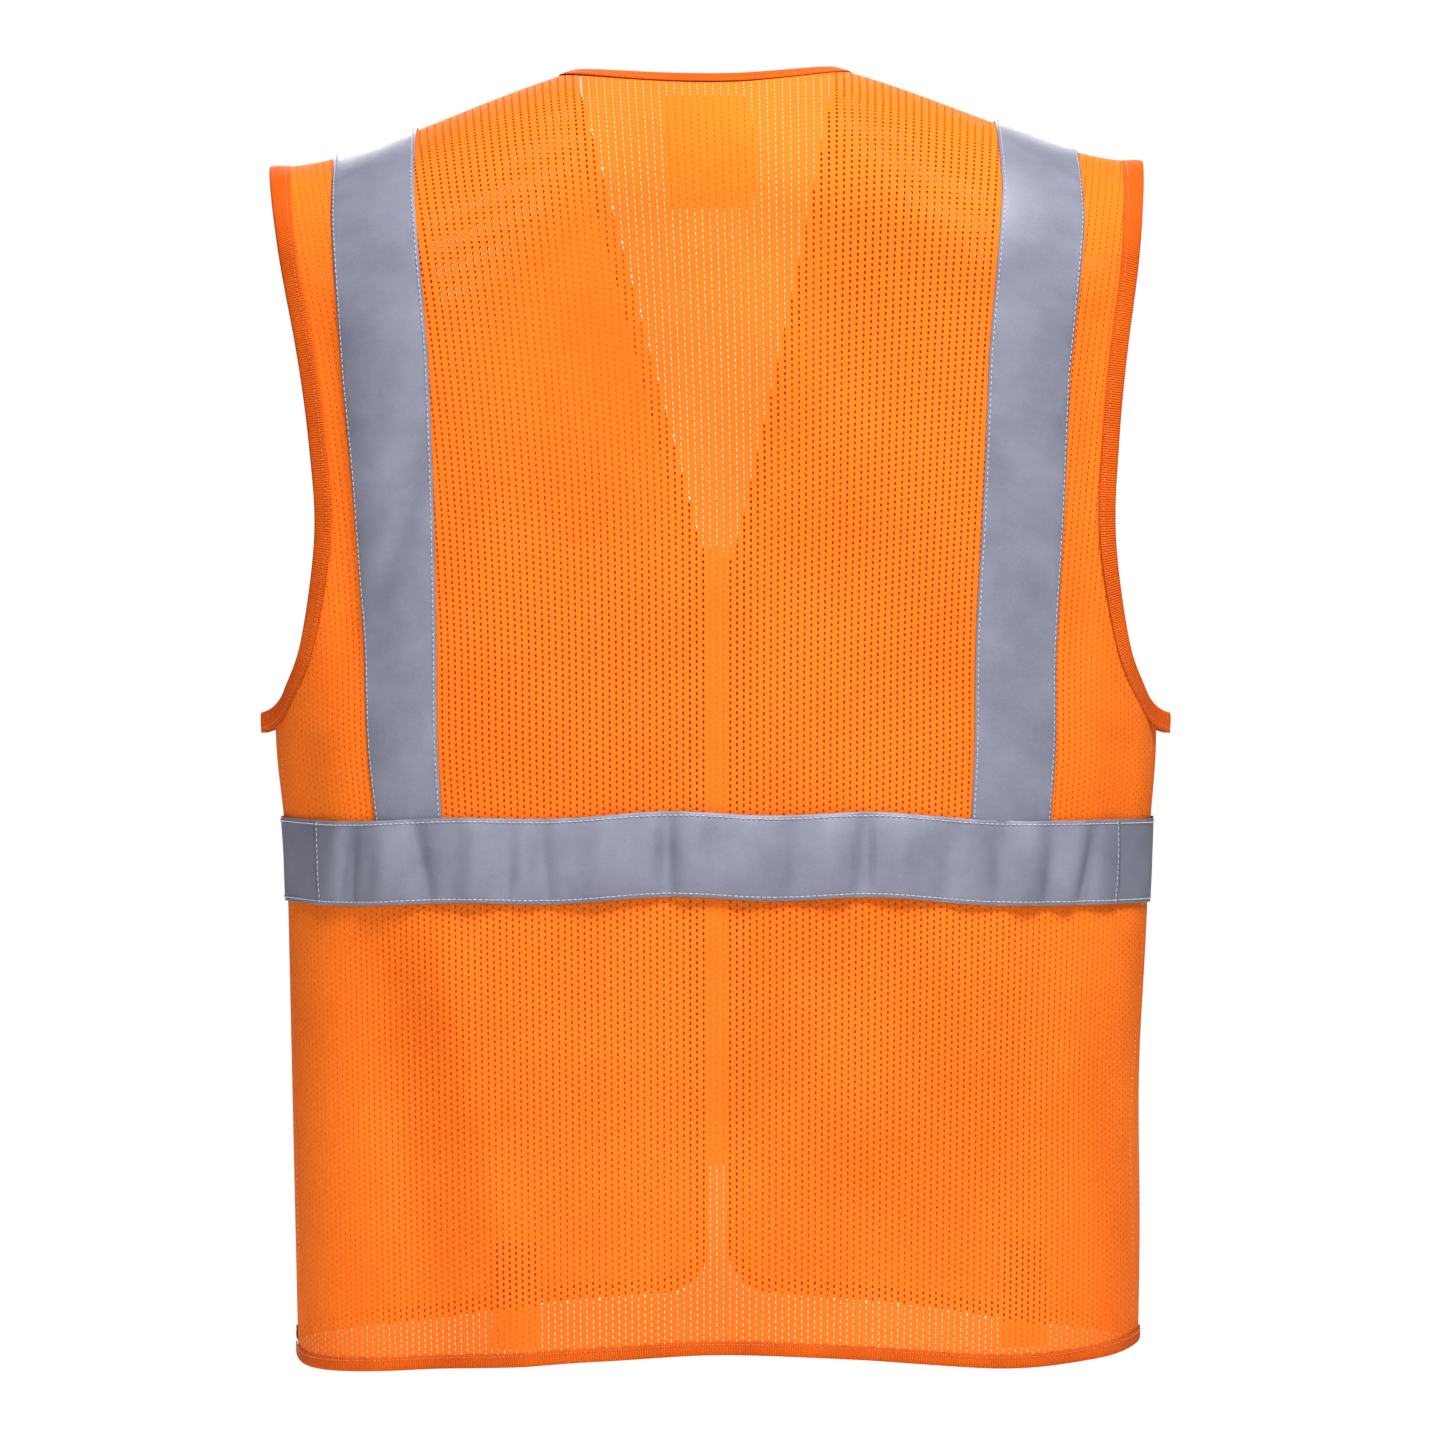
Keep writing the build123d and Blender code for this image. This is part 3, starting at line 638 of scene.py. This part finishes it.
def tape_sheet(name, rows, normals, uv, thick=0.00045):
    """A thin closed sheet of tape from a grid of points on its inner face."""
    count, wide = rows.shape[:2]
    top = rows + normals * thick
    points = np.concatenate([rows.reshape(-1, 3), top.reshape(-1, 3)])
    under = grid_faces(count, wide)[:, ::-1]
    over = grid_faces(count, wide) + count * wide
    last = (count - 1) * wide
    loop = np.concatenate([np.arange(wide - 1), np.arange(count - 1) * wide + wide - 1,
                           last + np.arange(wide - 1, 0, -1), np.arange(count - 1, 0, -1) * wide])
    after = np.roll(loop, -1)
    rim = np.stack([loop, after, after + count * wide, loop + count * wide], -1)
    faces = np.concatenate([under, over, rim])
    return new_mesh(name, points, faces, TAPE, np.concatenate([uv.reshape(-1, 2)] * 2))


# ---- the mesh panels --------------------------------------------------------------------
def mesh_panel(name, turns, levels, side, keep, skip_holes, off=0.0):
    """A panel of open mesh as one skin of real holes, cut to its outline by whole small cells.

    Columns of cells run down the cloth. In every other column each second cell is a hole,
    and neighbouring hole columns are staggered by half a repeat.
    """
    turn, drop = np.meshgrid(turns, levels)
    if side == FRONT:
        turn, drop = between_back_holes(turn, drop)
    turn, drop = with_open_knit(turn, drop, side)
    points, _ = surface(turn, drop, side, off)
    rows, columns = turn.shape
    quads = grid_faces(rows, columns)
    row = np.repeat(np.arange(rows - 1), columns - 1)
    column = np.tile(np.arange(columns - 1), rows - 1)
    hole = (column % 2 == 1) & ((row + column // 2) % 2 == 0) & (column > 1) & (column < columns - 3)
    flat = bare_point(turn, drop, side).reshape(-1, 3)[quads].mean(1)
    inside = keep(flat[:, 0], flat[:, 2])
    solid = skip_holes(flat[:, 0], flat[:, 2])
    quads = quads[inside & (~hole | solid)]
    length = arc_length(surface(np.full(rows, pi / 2), levels, side)[0])
    uv = np.stack(np.broadcast_arrays(column_places(columns)[None, :], -length[:, None]), -1)
    flat_points, quads, uv = drop_loose(points.reshape(-1, 3), quads, uv.reshape(-1, 2))
    return new_mesh(name, flat_points, quads, MESH, uv)


def with_open_knit(turn, drop, side):
    """Set the holes' widths: the knit is closer where one layer hangs alone and towards the side seams."""
    place_of = bare_point(turn, drop, side)
    x, z = np.abs(place_of[..., 0]), place_of[..., 2]
    flank = np.clip((x - 0.175) / 0.055, 0, 1)
    if side == BACK:
        behind_x, behind_z = x * seen_ratio(turn), VIEW_HEIGHT + (z - VIEW_HEIGHT) * seen_ratio(turn)
        alone = (behind_x < v_edge_at(behind_z)) | (behind_z < front_hem_z(np.maximum(behind_x, GAP_HALF)))
        share = np.where(alone, 0.26, 1.0) * (1 - 0.62 * flank)
    else:
        share = 0.50 * (1 - 0.4 * flank) * (0.3 + 0.7 * np.clip(drop / 0.14, 0, 1) ** 2)
    turn = turn.copy()
    columns = turn.shape[1]
    left = np.arange(3, columns - 3, 2)
    centre = 0.5 * (turn[:, left] + turn[:, left + 1])
    half = 0.5 * (turn[:, left + 1] - turn[:, left]) * share[:, left]
    turn[:, left] = centre - half
    turn[:, left + 1] = centre + half
    return turn, drop


def seen_ratio(turn):
    """How much farther out, seen through the back, a point of the front lies than the point before it."""
    deep = HALF_DEPTH * np.sin(turn)
    return (VIEW_FROM + deep) / (VIEW_FROM - deep)


def between_back_holes(turn, drop):
    """Move the front's grid so that its holes are seen between the back's, and not through them."""
    ratio = seen_ratio(turn)
    level = shoulder_line(half_width(drop) * across(turn)) - drop
    fade = np.clip(drop / 0.12, 0, 1) ** 2
    lower = drop - (level - VIEW_HEIGHT) * (ratio - 1) * fade
    place_of = np.clip(across(turn) * ratio, -1, 1) * half_width(lower)
    return turn_at(place_of, lower), lower


def column_places(columns):
    """Distance across the cloth of each grid line: a narrow hole, then a wide rib."""
    half = (columns - 1) // 2
    steps = np.where(np.arange(columns - 1) % 2 == 1, HOLE_W, WALE - HOLE_W)
    place_of = np.concatenate([[0], np.cumsum(steps)])
    return place_of - place_of[half]


def mesh_turns(shift=0.0):
    """Turns of the grid lines of the mesh, from one side seam to the other."""
    _, turn_of = girth_turns(WALE)
    count = 2 * int(0.42 / WALE) * 2
    places = column_places(count + 1) + shift
    turns = turn_of(places)
    inside = np.flatnonzero((turns > 1e-3) & (turns < pi - 1e-3))
    first = inside[0] + (inside[0] % 2)
    turns = turns[first:inside[-1] + 1]
    return np.concatenate([[0.0, turns[0] * 0.5], turns, [pi]])


BRACE_HEIGHTS = (-0.448, -0.306, -0.140, -0.045)
BRACE = {
    (1, "inner"): (0.1600, 0.1630, 0.1660, 0.1715),
    (1, "outer"): (0.1980, 0.2045, 0.2160, 0.2200),
    (-1, "inner"): (0.1470, 0.1510, 0.1605, 0.1715),
    (-1, "outer"): (0.1935, 0.1985, 0.2080, 0.2200),
}


def brace_edge(sign, which, z):
    """A brace's edge across the cloth at a height; the two braces were not sewn on quite alike."""
    return np.interp(z, BRACE_HEIGHTS, BRACE[sign, which])


def tape_covers(x, z):
    """Where the mesh is hidden under the tapes, so that its holes need not be cut."""
    band = (z < WAIST_TOP - 0.003) & (z > WAIST_TOP - TAPE_W + 0.003)
    left, right = [(x * sign > brace_edge(sign, "inner", z) + 0.004)
                   & (x * sign < brace_edge(sign, "outer", z) - 0.004) for sign in (1, -1)]
    return band | ((left | right) & (z > WAIST_TOP))


def keep_back(x, z):
    neck = BACK_NECK + (shoulder_line(NECK_HALF) - BACK_NECK) * (x / NECK_HALF) ** 2
    below_neck = (np.abs(x) > NECK_HALF) | (z < neck - 0.002)
    return inside_armhole(x, z, 0.002) & below_neck & (z > back_hem_z(x) + 0.002)


def v_edge_at(z):
    """The V's and the front edge's distance from the middle at a height."""
    return np.interp(z, [V_LOW - 0.016, V_LOW, shoulder_line(NECK_HALF)], [GAP_HALF, V_HALF, NECK_HALF])


def front_hem_z(x):
    bottom = FRONT_EDGE[FRONT_EDGE[:, 1] < FRONT_HEM + CORNER]
    return np.interp(x, bottom[:, 0], bottom[:, 1], left=9.0)


def keep_front(x, z):
    hem = front_hem_z(x)
    return (x > v_edge_at(z) + 0.002) & (z > hem + 0.002) & inside_armhole(x, z, 0.002)


# ---- the fronts' fold lines -------------------------------------------------------------
def hinge(body):
    """Where a front's fold line starts, and its direction."""
    joint = next(row for row in frame["joints"] if row["child"] == body)
    return np.array(joint["pos_m"]), np.array(joint["axis"])


def folds(piece, sign):
    """Bakes the piece's placement into its points; one front's fold line and the way across it are worked out
    but not used; sign is +1 for the wearer's left.
    """
    body = BODIES[sign]
    place_of, axis = hinge(body)
    over = np.array([sign * abs(axis[2]), 0, abs(axis[0])])
    over /= np.linalg.norm(over)
    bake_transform(piece)


# ---- pieces -----------------------------------------------------------------------------
def add_back_mesh(turns, levels):
    panel = mesh_panel("back_mesh", turns, levels, BACK, keep_back, tape_covers)
    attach(panel, ROOT)
    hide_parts("back_panel")


def add_front_mesh(turns, levels, sign):
    word = WORDS[sign]
    panel = mesh_panel(f"front_mesh_{word}", turns, levels, FRONT,
                       lambda x, z: keep_front(x * sign, z), tape_covers)
    folds(panel, sign)
    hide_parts(f"front_panel_{word}", f"front_side_panel_{word}")


def bound(name, points, normal, inward, width, thick, swell=None):
    """A binding along an edge, with its row of stitches; inward points into the cloth."""
    _, over = strip_frame(points, normal)
    if np.sum(over * inward) < 0:
        over = -over
    strip = swept_binding(name, points, normal, -over, width, thick, swell)
    sewn = points + over * width * 0.80 + normal * thick * 0.86
    row = threads(name + "_stitch", sewn, normal, BINDING_THREAD, 0.0022, 0.0007, 0.00020, 0.0001)
    return joined(name, [strip, row])


def inward_of(points, normal, towards):
    """For each point, the direction in the cloth towards a place inside the panel."""
    way = np.asarray(towards) - points
    return way - normal * np.sum(way * normal, axis=1, keepdims=True)


def add_armhole_binding(sign):
    """Round the whole armhole: up the back edge, over the shoulder and down the front edge."""
    word = WORDS[sign]
    line = ARMHOLE * [sign, 1]
    back, back_normal = at_line(line, BACK)
    front, front_normal = at_line(line, FRONT)
    back, back_normal = with_flap(back, back_normal, sign, BACK)
    front, front_normal = with_flap(front, front_normal, sign, FRONT)
    points = np.concatenate([back[::-1], front[1:]])
    normal = softened(np.concatenate([back_normal[::-1], front_normal[1:]]), 4)
    inward = inward_of(points, normal, [0, 0, -0.2])
    piece = bound(f"armhole_rib_{word}", points, normal, inward, ARM_BINDING, 0.0009)
    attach(piece, ROOT)
    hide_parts(f"armhole_binding_{word}")


def with_flap(points, normal, sign, side):
    """Lift a binding's last stretch off the side seam, where it stands out as a raw end."""
    turned = np.clip((np.arange(len(points)) - len(points) + 13) / 12, 0, 1)[:, None] ** 2
    facing = np.array([sign * 0.6, side * 0.8, 0.15])
    normal = normal * (1 - turned) + facing * turned
    away = turned * [sign * 0.0085, side * 0.0006, 0.0030]
    return points + away, normal / np.linalg.norm(normal, axis=1, keepdims=True)


def softened(vectors, reach):
    """Unit vectors averaged with their neighbours."""
    padded = np.pad(vectors, ((reach, reach), (0, 0)), mode="edge")
    total = sum(padded[i:i + len(vectors)] for i in range(2 * reach + 1))
    return total / np.linalg.norm(total, axis=1, keepdims=True)


def add_neck_binding():
    line = even(neck_line(), 0.0025)
    points, normal = at_line(line, BACK)
    inward = inward_of(points, normal, [0, 0.1, -0.4])
    piece = bound("neck_rib", points, normal, inward, NECK_BINDING, 0.0010)
    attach(piece, ROOT)
    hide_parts("neck_binding")


def add_edge_binding(sign):
    """Down the V and the front edge, round the corner and along the front hem."""
    word = WORDS[sign]
    points, normal = at_line(FRONT_EDGE * [sign, 1], FRONT)
    inward = inward_of(points, normal, [sign * 0.14, -0.1, -0.45])
    piece = bound(f"edge_rib_{word}", points, normal, inward, EDGE_BINDING, 0.0010)
    folds(piece, sign)
    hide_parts(f"edge_binding_{word}", f"hem_binding_side_{word}")


def add_back_hem():
    points, normal = at_line(BACK_HEM, BACK)
    inward = np.tile([0, 0, 1.0], (len(points), 1))
    piece = bound("hem_rib", points, normal, inward, HEM_BINDING, 0.0011)
    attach(piece, ROOT)
    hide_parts("hem_binding_back")


# each crease of the waist tape on the back: where, its lean, width and depth
CREASES = [
    (0.215, 0.006, 0.0060, -0.0046), (0.194, 0.004, 0.0075, 0.0030), (0.173, -0.005, 0.0060, -0.0040),
    (0.141, 0.004, 0.0080, 0.0026), (0.122, 0.003, 0.0055, -0.0022), (0.102, -0.004, 0.0070, -0.0030),
    (0.067, 0.005, 0.0100, 0.0030), (0.030, 0.001, 0.0042, -0.0052), (0.014, 0.003, 0.0070, 0.0020),
    (-0.016, 0.004, 0.0090, 0.0024), (-0.044, 0.003, 0.0065, -0.0020), (-0.066, -0.004, 0.0080, 0.0026),
    (-0.085, 0.002, 0.0044, -0.0054), (-0.108, 0.003, 0.0090, 0.0022), (-0.134, 0.005, 0.0070, -0.0026),
    (-0.164, -0.004, 0.0065, -0.0036), (-0.182, 0.003, 0.0070, 0.0024), (-0.194, 0.003, 0.0050, -0.0030),
    (-0.207, 0.005, 0.0060, 0.0022), (-0.217, 0.007, 0.0055, -0.0040),
]


def crease_depth(x, share):
    """Creases and puckers of the waist tape: share is 0 at its top edge and 1 at its lower edge."""
    depth = np.zeros_like(x)
    for at, lean, width, deep in CREASES:
        depth += 1.35 * deep * bump(x, at + lean * (share - 0.5), width) * (0.55 + 0.45 * share)
    pucker = 0.0006 * np.sin(x * 420) * np.sin(x * 71 + 1) * np.clip(np.abs(share - 0.5) * 4 - 1, 0, 1)
    return depth + pucker


def waist_z(x):
    """How far the waist tape's edges rise and dip along the back."""
    return 0.0035 * bump(x, 0.020, 0.060) + 0.0030 * bump(x, -0.085, 0.05) - 0.0022 * bump(x, -0.215, 0.05) \
        - 0.0014 * bump(x, 0.210, 0.06) + 0.0008 * np.sin(x * 50)


def band_sheet(name, first, last, side, off, wide=22, step=0.0018):
    """A stretch of the waist tape between two turns, sewn along both edges."""
    count = int(abs(last - first) * 0.20 / step)
    turns = np.linspace(first, last, count)
    share = np.linspace(0, 1, wide)
    share = 0.5 - 0.5 * np.cos(pi * share) * (1 - 0.25 * np.sin(pi * share) ** 2)
    turn, part = np.meshgrid(turns, share, indexing="ij")
    x = half_width(0.47) * across(turn)
    level = WAIST_TOP + waist_z(x) * (side == BACK) - TAPE_W * part
    crown = shoulder_line(x)
    drop = (crown - level) / (1 + crown / LENGTH)
    middle = np.sin(pi * part) ** 0.6
    deep = crease_depth(x if side == BACK else x * 0.93 + 0.011, part) * (0.30 + 0.70 * middle)
    puff = 0.0040 * (0.25 + 0.75 * middle) * np.clip((0.252 - np.abs(x)) / 0.03, 0.12, 1)
    deep = deep * np.clip((0.256 - np.abs(x)) / 0.03, 0.15, 1)
    rows, normals = surface(turn, drop, side, off + np.maximum(deep + puff, 0.0001))
    length = arc_length(rows[:, 0])
    uv = np.stack(np.broadcast_arrays(length[:, None], part * TAPE_W), -1)
    sheet = tape_sheet(name, rows, normals, uv)
    seams = []
    for place_of in (0.045, 0.955):
        line = np.stack([np.array([np.interp(place_of, share, rows[i, :, k]) for i in range(count)])
                         for k in range(3)], -1)
        up = normals[:, 0 if place_of < 0.5 else -1]
        seams.append(threads(name + "_seam", line + up * 0.0005, up, TAPE_THREAD, 0.0025, 0.0008, 0.00024))
    if name == "waist_tape":
        for end in (2, -3):
            seams.append(threads(name + "_join", rows[end] + normals[end] * 0.0005, normals[end], TAPE_THREAD,
                                 0.0025, 0.0008, 0.00026))
    return joined(name, [sheet] + seams)


def side_turn(x):
    """Turn on the band's level at a distance to the wearer's left."""
    return float(turn_at(np.array(x), np.array(0.47)))


def add_waist_tapes():
    """The band across the back, and one piece a side from the join round the side to the front edge."""
    join = side_turn(0.2345)
    back = band_sheet("waist_tape", join, pi - join, BACK, 0.0020)
    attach(back, ROOT)
    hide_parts("waist_tape_back")
    for sign, word in ((1, "left"), (-1, "right")):
        tucked, seam, edge = side_turn(0.2315), 0.0, side_turn(GAP_HALF + 0.006)
        ends = [(tucked, seam), (seam, edge)] if sign > 0 else [(pi - tucked, pi), (pi, pi - edge)]
        rear = band_sheet(f"side_rear_{word}", *ends[0], BACK, 0.0012)
        front = band_sheet(f"side_front_{word}", *ends[1], FRONT, 0.0012)
        tape = joined(f"side_tape_{word}", [rear, front])
        folds(tape, sign)
        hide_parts(f"waist_tape_side_{word}", f"waist_tape_front_{word}")


def brace_sheet(side, sign, off, wide=14, step=0.0022):
    """One side of a shoulder brace, from the band up to the shoulder's ridge."""
    low = WAIST_TOP - 0.010
    share = np.linspace(0, 1, wide)
    share = 0.5 - 0.5 * np.cos(pi * share) * (1 - 0.25 * np.sin(pi * share) ** 2)
    centre = 0.5 * (brace_edge(sign, "inner", low) + brace_edge(sign, "outer", low))
    bottom = place(centre, low)[1]
    levels = drops(step, bottom)
    drop = levels[::-1]
    height = -drop * 0.96
    inner, outer = brace_edge(sign, "inner", height), brace_edge(sign, "outer", height)
    x = sign * (inner[:, None] + (outer - inner)[:, None] * share[None, :])
    drop = np.repeat(drop[:, None], wide, 1)
    middle = np.sin(pi * share)[None, :] ** 0.6
    run = arc_length(surface(np.full(len(levels), pi / 2), levels[::-1], side)[0])
    slant = x * sign - 0.18 + 0.35 * (run[:, None] - 0.20)
    crease = -0.0016 * bump(slant, 0.0, 0.008) + 0.0013 * bump(slant, 0.030, 0.012) \
        - 0.0014 * bump(slant + 0.020 * sign, -0.055, 0.010) + 0.0008 * np.sin(run[:, None] * 47 + x * 30)
    turn = turn_at(x, drop)
    return surface(turn, drop, side, off + np.maximum((crease + 0.0010) * middle, 0))


def add_brace(sign):
    """A brace in one strip: up the back, over the shoulder and down the front."""
    word = WORDS[sign]
    back, back_up = brace_sheet(BACK, sign, 0.0009)
    front, front_up = brace_sheet(FRONT, sign, 0.0009)
    rows = np.concatenate([back, front[::-1][1:]])
    normals = np.concatenate([back_up, front_up[::-1][1:]])
    length = arc_length(rows[:, 6])
    uv = np.stack(np.broadcast_arrays(np.linspace(0, TAPE_W, rows.shape[1])[None, :], length[:, None]), -1)
    sheet = tape_sheet(f"brace_{word}", rows, normals, uv)
    seams = []
    for edge, other in ((0, 1), (-1, -2)):
        line = rows[:, edge]
        way = rows[:, other] - rows[:, edge]
        way /= np.linalg.norm(way, axis=1, keepdims=True)
        up = normals[:, edge]
        seams.append(threads(f"brace_seam_{word}", line + way * 0.0016 + up * 0.00055, up, TAPE_THREAD,
                             0.0025, 0.0008, 0.00024))
    piece = joined(f"brace_{word}", [sheet] + seams)
    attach(piece, ROOT)
    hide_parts(f"brace_tape_back_{word}", f"brace_tape_front_{word}")


def flat_patch(name, low, high, side, off, material, thick=0.0005, cells=(26, 60)):
    """A small sewn-on piece of cloth between two corners in x and z, a distance off the worn surface."""
    x = np.linspace(low[0], high[0], cells[0])
    z = np.linspace(low[1], high[1], cells[1])
    grid_x, grid_z = np.meshgrid(x, z, indexing="ij")
    turn, drop = place(grid_x, grid_z)
    rows, normals = surface(turn, drop, side, off)
    uv = np.stack([grid_x, grid_z], -1)
    if off < 0:
        normals = -normals
    sheet = tape_sheet(name, rows, normals, uv, thick)
    sheet.data.materials[0] = material
    return sheet, rows, normals


def add_label(node, name, off):
    low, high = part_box(node)
    patch, rows, normals = flat_patch(name, (low[0], low[2]), (high[0], high[2]), BACK, off, LABEL)
    top = rows[1:-1, -3] + normals[1:-1, -3] * 0.0006
    seam = threads(name + "_seam", top, normals[1:-1, -3], BINDING_THREAD, 0.0022, 0.0007, 0.00020)
    piece = joined(name, [patch, seam])
    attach(piece, ROOT)
    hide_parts(node)


def add_hem_tab(sign):
    word = WORDS[sign]
    node = f"hem_tab_{word}"
    low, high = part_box(node)
    patch, rows, normals = flat_patch(f"inner_tab_{word}", (low[0], low[2]), (high[0], high[2]), BACK,
                                      -0.0024, TAB)
    seams = [threads("tab_seam", rows[k, 1:-1] + normals[k, 1:-1] * 0.0006, normals[k, 1:-1], BINDING_THREAD,
                     0.0022, 0.0007, 0.00020) for k in (1, -2)]
    piece = joined(f"inner_tab_{word}", [patch] + seams)
    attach(piece, ROOT)
    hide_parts(node)


# ---- the zip ----------------------------------------------------------------------------
def add_zip_tape(sign):
    """Woven tape with a corded edge, a flared top end, and the seam that holds it to the front."""
    word = WORDS[sign]
    node = f"zip_tape_{word}"
    low, high = (np.array(corner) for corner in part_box(node))
    inner = sign * ZIP_TAPE_EDGE
    outer = high[0] if sign > 0 else low[0]
    middle_y = (low[1] + high[1]) / 2
    z = np.linspace(low[2], high[2], 240)
    across_at = np.linspace(0, 1, 16)
    flare = 0.0050 * np.clip((z - high[2] + 0.016) / 0.016, 0, 1)[:, None] ** 1.5
    x = inner + (outer - inner) * across_at[None, :] + sign * flare
    cord = 0.0005 * bump(across_at, 0.03, 0.04)[None, :]
    ripple = 0.00020 * np.sin(z * 900)[:, None] * bump(across_at, 0.55, 0.2)[None, :]
    y = middle_y + cord + ripple + np.zeros_like(x)
    rows = np.stack([x, y, np.repeat(z[:, None], len(across_at), 1)], -1)
    normals = np.tile([0.0, 1.0, 0.0], rows.shape[:2] + (1,))
    uv = rows[..., [0, 2]]
    sheet = tape_sheet(f"zip_cloth_{word}", rows, normals, uv, 0.0006)
    sheet.data.materials[0] = ZIP_TAPE
    seams = [threads("zip_seam", rows[4:-4, k] + [0, 0.0007, 0], normals[4:-4, k], BINDING_THREAD,
                     0.0022, 0.0007, 0.00020) for k in (8, 13)]
    piece = joined(f"zip_cloth_{word}", [sheet] + seams)
    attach(piece, BODIES[sign])
    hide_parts(node)


# a tooth's outline: how far in from the row's outer edge, and how far up or down from its middle
# (1 is half its height)
HEAD = [(0.0000, 0.80), (0.0018, 0.80), (0.0022, 0.62), (0.0030, 0.66), (0.0035, 0.84), (0.0040, 0.70)]
NECK = [(0.0040, -0.70), (0.0035, -0.84), (0.0030, -0.66), (0.0022, -0.62), (0.0018, -0.80), (0.0000, -0.80)]
TOOTH_PITCH = 0.0032
TOOTH_HALF = 0.0009


def add_teeth(sign):
    """Moulded teeth: each has a narrow neck and a rounded head that locks between two of the other row."""
    word = WORDS[sign]
    node = f"zip_teeth_{word}"
    low, high = (np.array(corner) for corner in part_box(node))
    edge = sign * max(abs(low[0]), abs(high[0]))
    mid_y, half_y = (low[1] + high[1]) / 2, (high[1] - low[1]) / 2
    start = low[2] + (0 if sign > 0 else TOOTH_PITCH / 2) + 0.0008
    heights = start + np.arange(int((high[2] - low[2]) / TOOTH_PITCH)) * TOOTH_PITCH
    count = len(HEAD + NECK)
    points, faces = [], []
    for height in heights[heights + 0.0013 <= high[2]]:
        base = len(points)
        for level, shrink in ((-1.0, 0.72), (-0.7, 1.0), (0.7, 1.0), (1.0, 0.72)):
            for reach, rise in HEAD + NECK:
                points.append((edge - sign * reach * 0.95, mid_y + half_y * level,
                               height + rise * shrink * TOOTH_HALF))
        faces.extend(grid_faces(4, count, True) + base)
        for ring in (0, 3):
            first, last = base + ring * count, base + ring * count + count - 1
            for k in range(count // 2 - 1):
                faces.append((first + k, first + k + 1, last - 1 - k, last - k))
    row = new_mesh(f"zip_tooth_row_{word}", points, faces, TOOTH, np.zeros((len(points), 2)), smooth=False)
    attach(row, BODIES[sign])
    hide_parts(node)


def finish_hardware():
    """The zip's stops, pin, box, slider and pull keep their CAD shapes and get real finishes."""
    for node in ("zip_slider", "zip_pull"):
        paint(node, METAL)
    for node in ("zip_top_stop_left", "zip_top_stop_right", "zip_pin", "zip_box"):
        paint(node, TOOTH)


def paint(node, material):
    piece = frame["nodes"][node]
    piece.data.materials.clear()
    piece.data.materials.append(material)


# ---- studio -----------------------------------------------------------------------------
def area_light(name, place_at, aim, size, power):
    data = bpy.data.lights.new(name, "AREA")
    data.shape = "RECTANGLE"
    data.size, data.size_y = size
    data.energy = power
    lamp = bpy.data.objects.new(name, data)
    bpy.context.collection.objects.link(lamp)
    lamp.location = place_at
    towards = np.array(aim) - np.array(place_at)
    lamp.rotation_euler = Vector(towards).to_track_quat("-Z", "Y").to_euler()


def add_studio():
    scene = bpy.context.scene
    scene.view_settings.view_transform = "Standard"
    bpy.ops.mesh.primitive_circle_add(vertices=96, radius=1.9, fill_type="NGON", location=(0, 0, FLOOR))
    floor = bpy.context.object
    floor.name = "floor"
    pale, _, bsdf = shader("floor_paper", 0.9)
    bsdf.inputs["Base Color"].default_value = (0.9, 0.9, 0.9, 1)
    floor.data.materials.append(pale)
    scene.world = studio_world()
    area_light("key", (-0.45, 1.45, 1.75), (0, 0, -0.08), (1.1, 0.8), 142)
    area_light("fill", (0.9, 3.4, -0.1), (0, 0, -0.5), (1.4, 1.6), 42)
    area_light("front_fill", (0.3, -2.6, 0.8), (0, 0, -0.4), (1.8, 1.4), 120)


def studio_world():
    """A white surround that is seen at full strength and lights the cloth only softly."""
    world = bpy.data.worlds.new("studio")
    world.use_nodes = True
    tree = world.node_tree
    sky = tree.nodes["Background"]
    sky.inputs["Color"].default_value = (1, 1, 1, 1)
    seen = tree.nodes.new("ShaderNodeLightPath").outputs["Is Camera Ray"]
    level = maths(tree, "MULTIPLY_ADD", seen, 1 - AMBIENT, AMBIENT)
    tree.links.new(level, sky.inputs["Strength"])
    return world


def add_camera():
    lens = bpy.data.cameras.new("camera")
    lens.sensor_width = 36.0
    lens.lens = 168.3
    camera = bpy.data.objects.new("camera", lens)
    bpy.context.collection.objects.link(camera)
    camera.location = (-0.0027, VIEW_FROM, VIEW_HEIGHT)
    camera.rotation_euler = (pi / 2, 0, pi)
    bpy.context.scene.camera = camera


add_camera()
add_studio()
TURNS = mesh_turns()
FRONT_TURNS = mesh_turns(WALE / 2)
LEVELS = drops(COURSE / 2)
add_back_mesh(TURNS, LEVELS)
add_back_hem()
add_neck_binding()
add_waist_tapes()
add_label("neck_label", "inner_neck_label", -0.0022)
add_label("care_label", "inner_care_label", -0.0034)
for hand in (1, -1):
    add_front_mesh(FRONT_TURNS, LEVELS, hand)
    add_armhole_binding(hand)
    add_edge_binding(hand)
    add_brace(hand)
    add_hem_tab(hand)
    add_zip_tape(hand)
    add_teeth(hand)
finish_hardware()
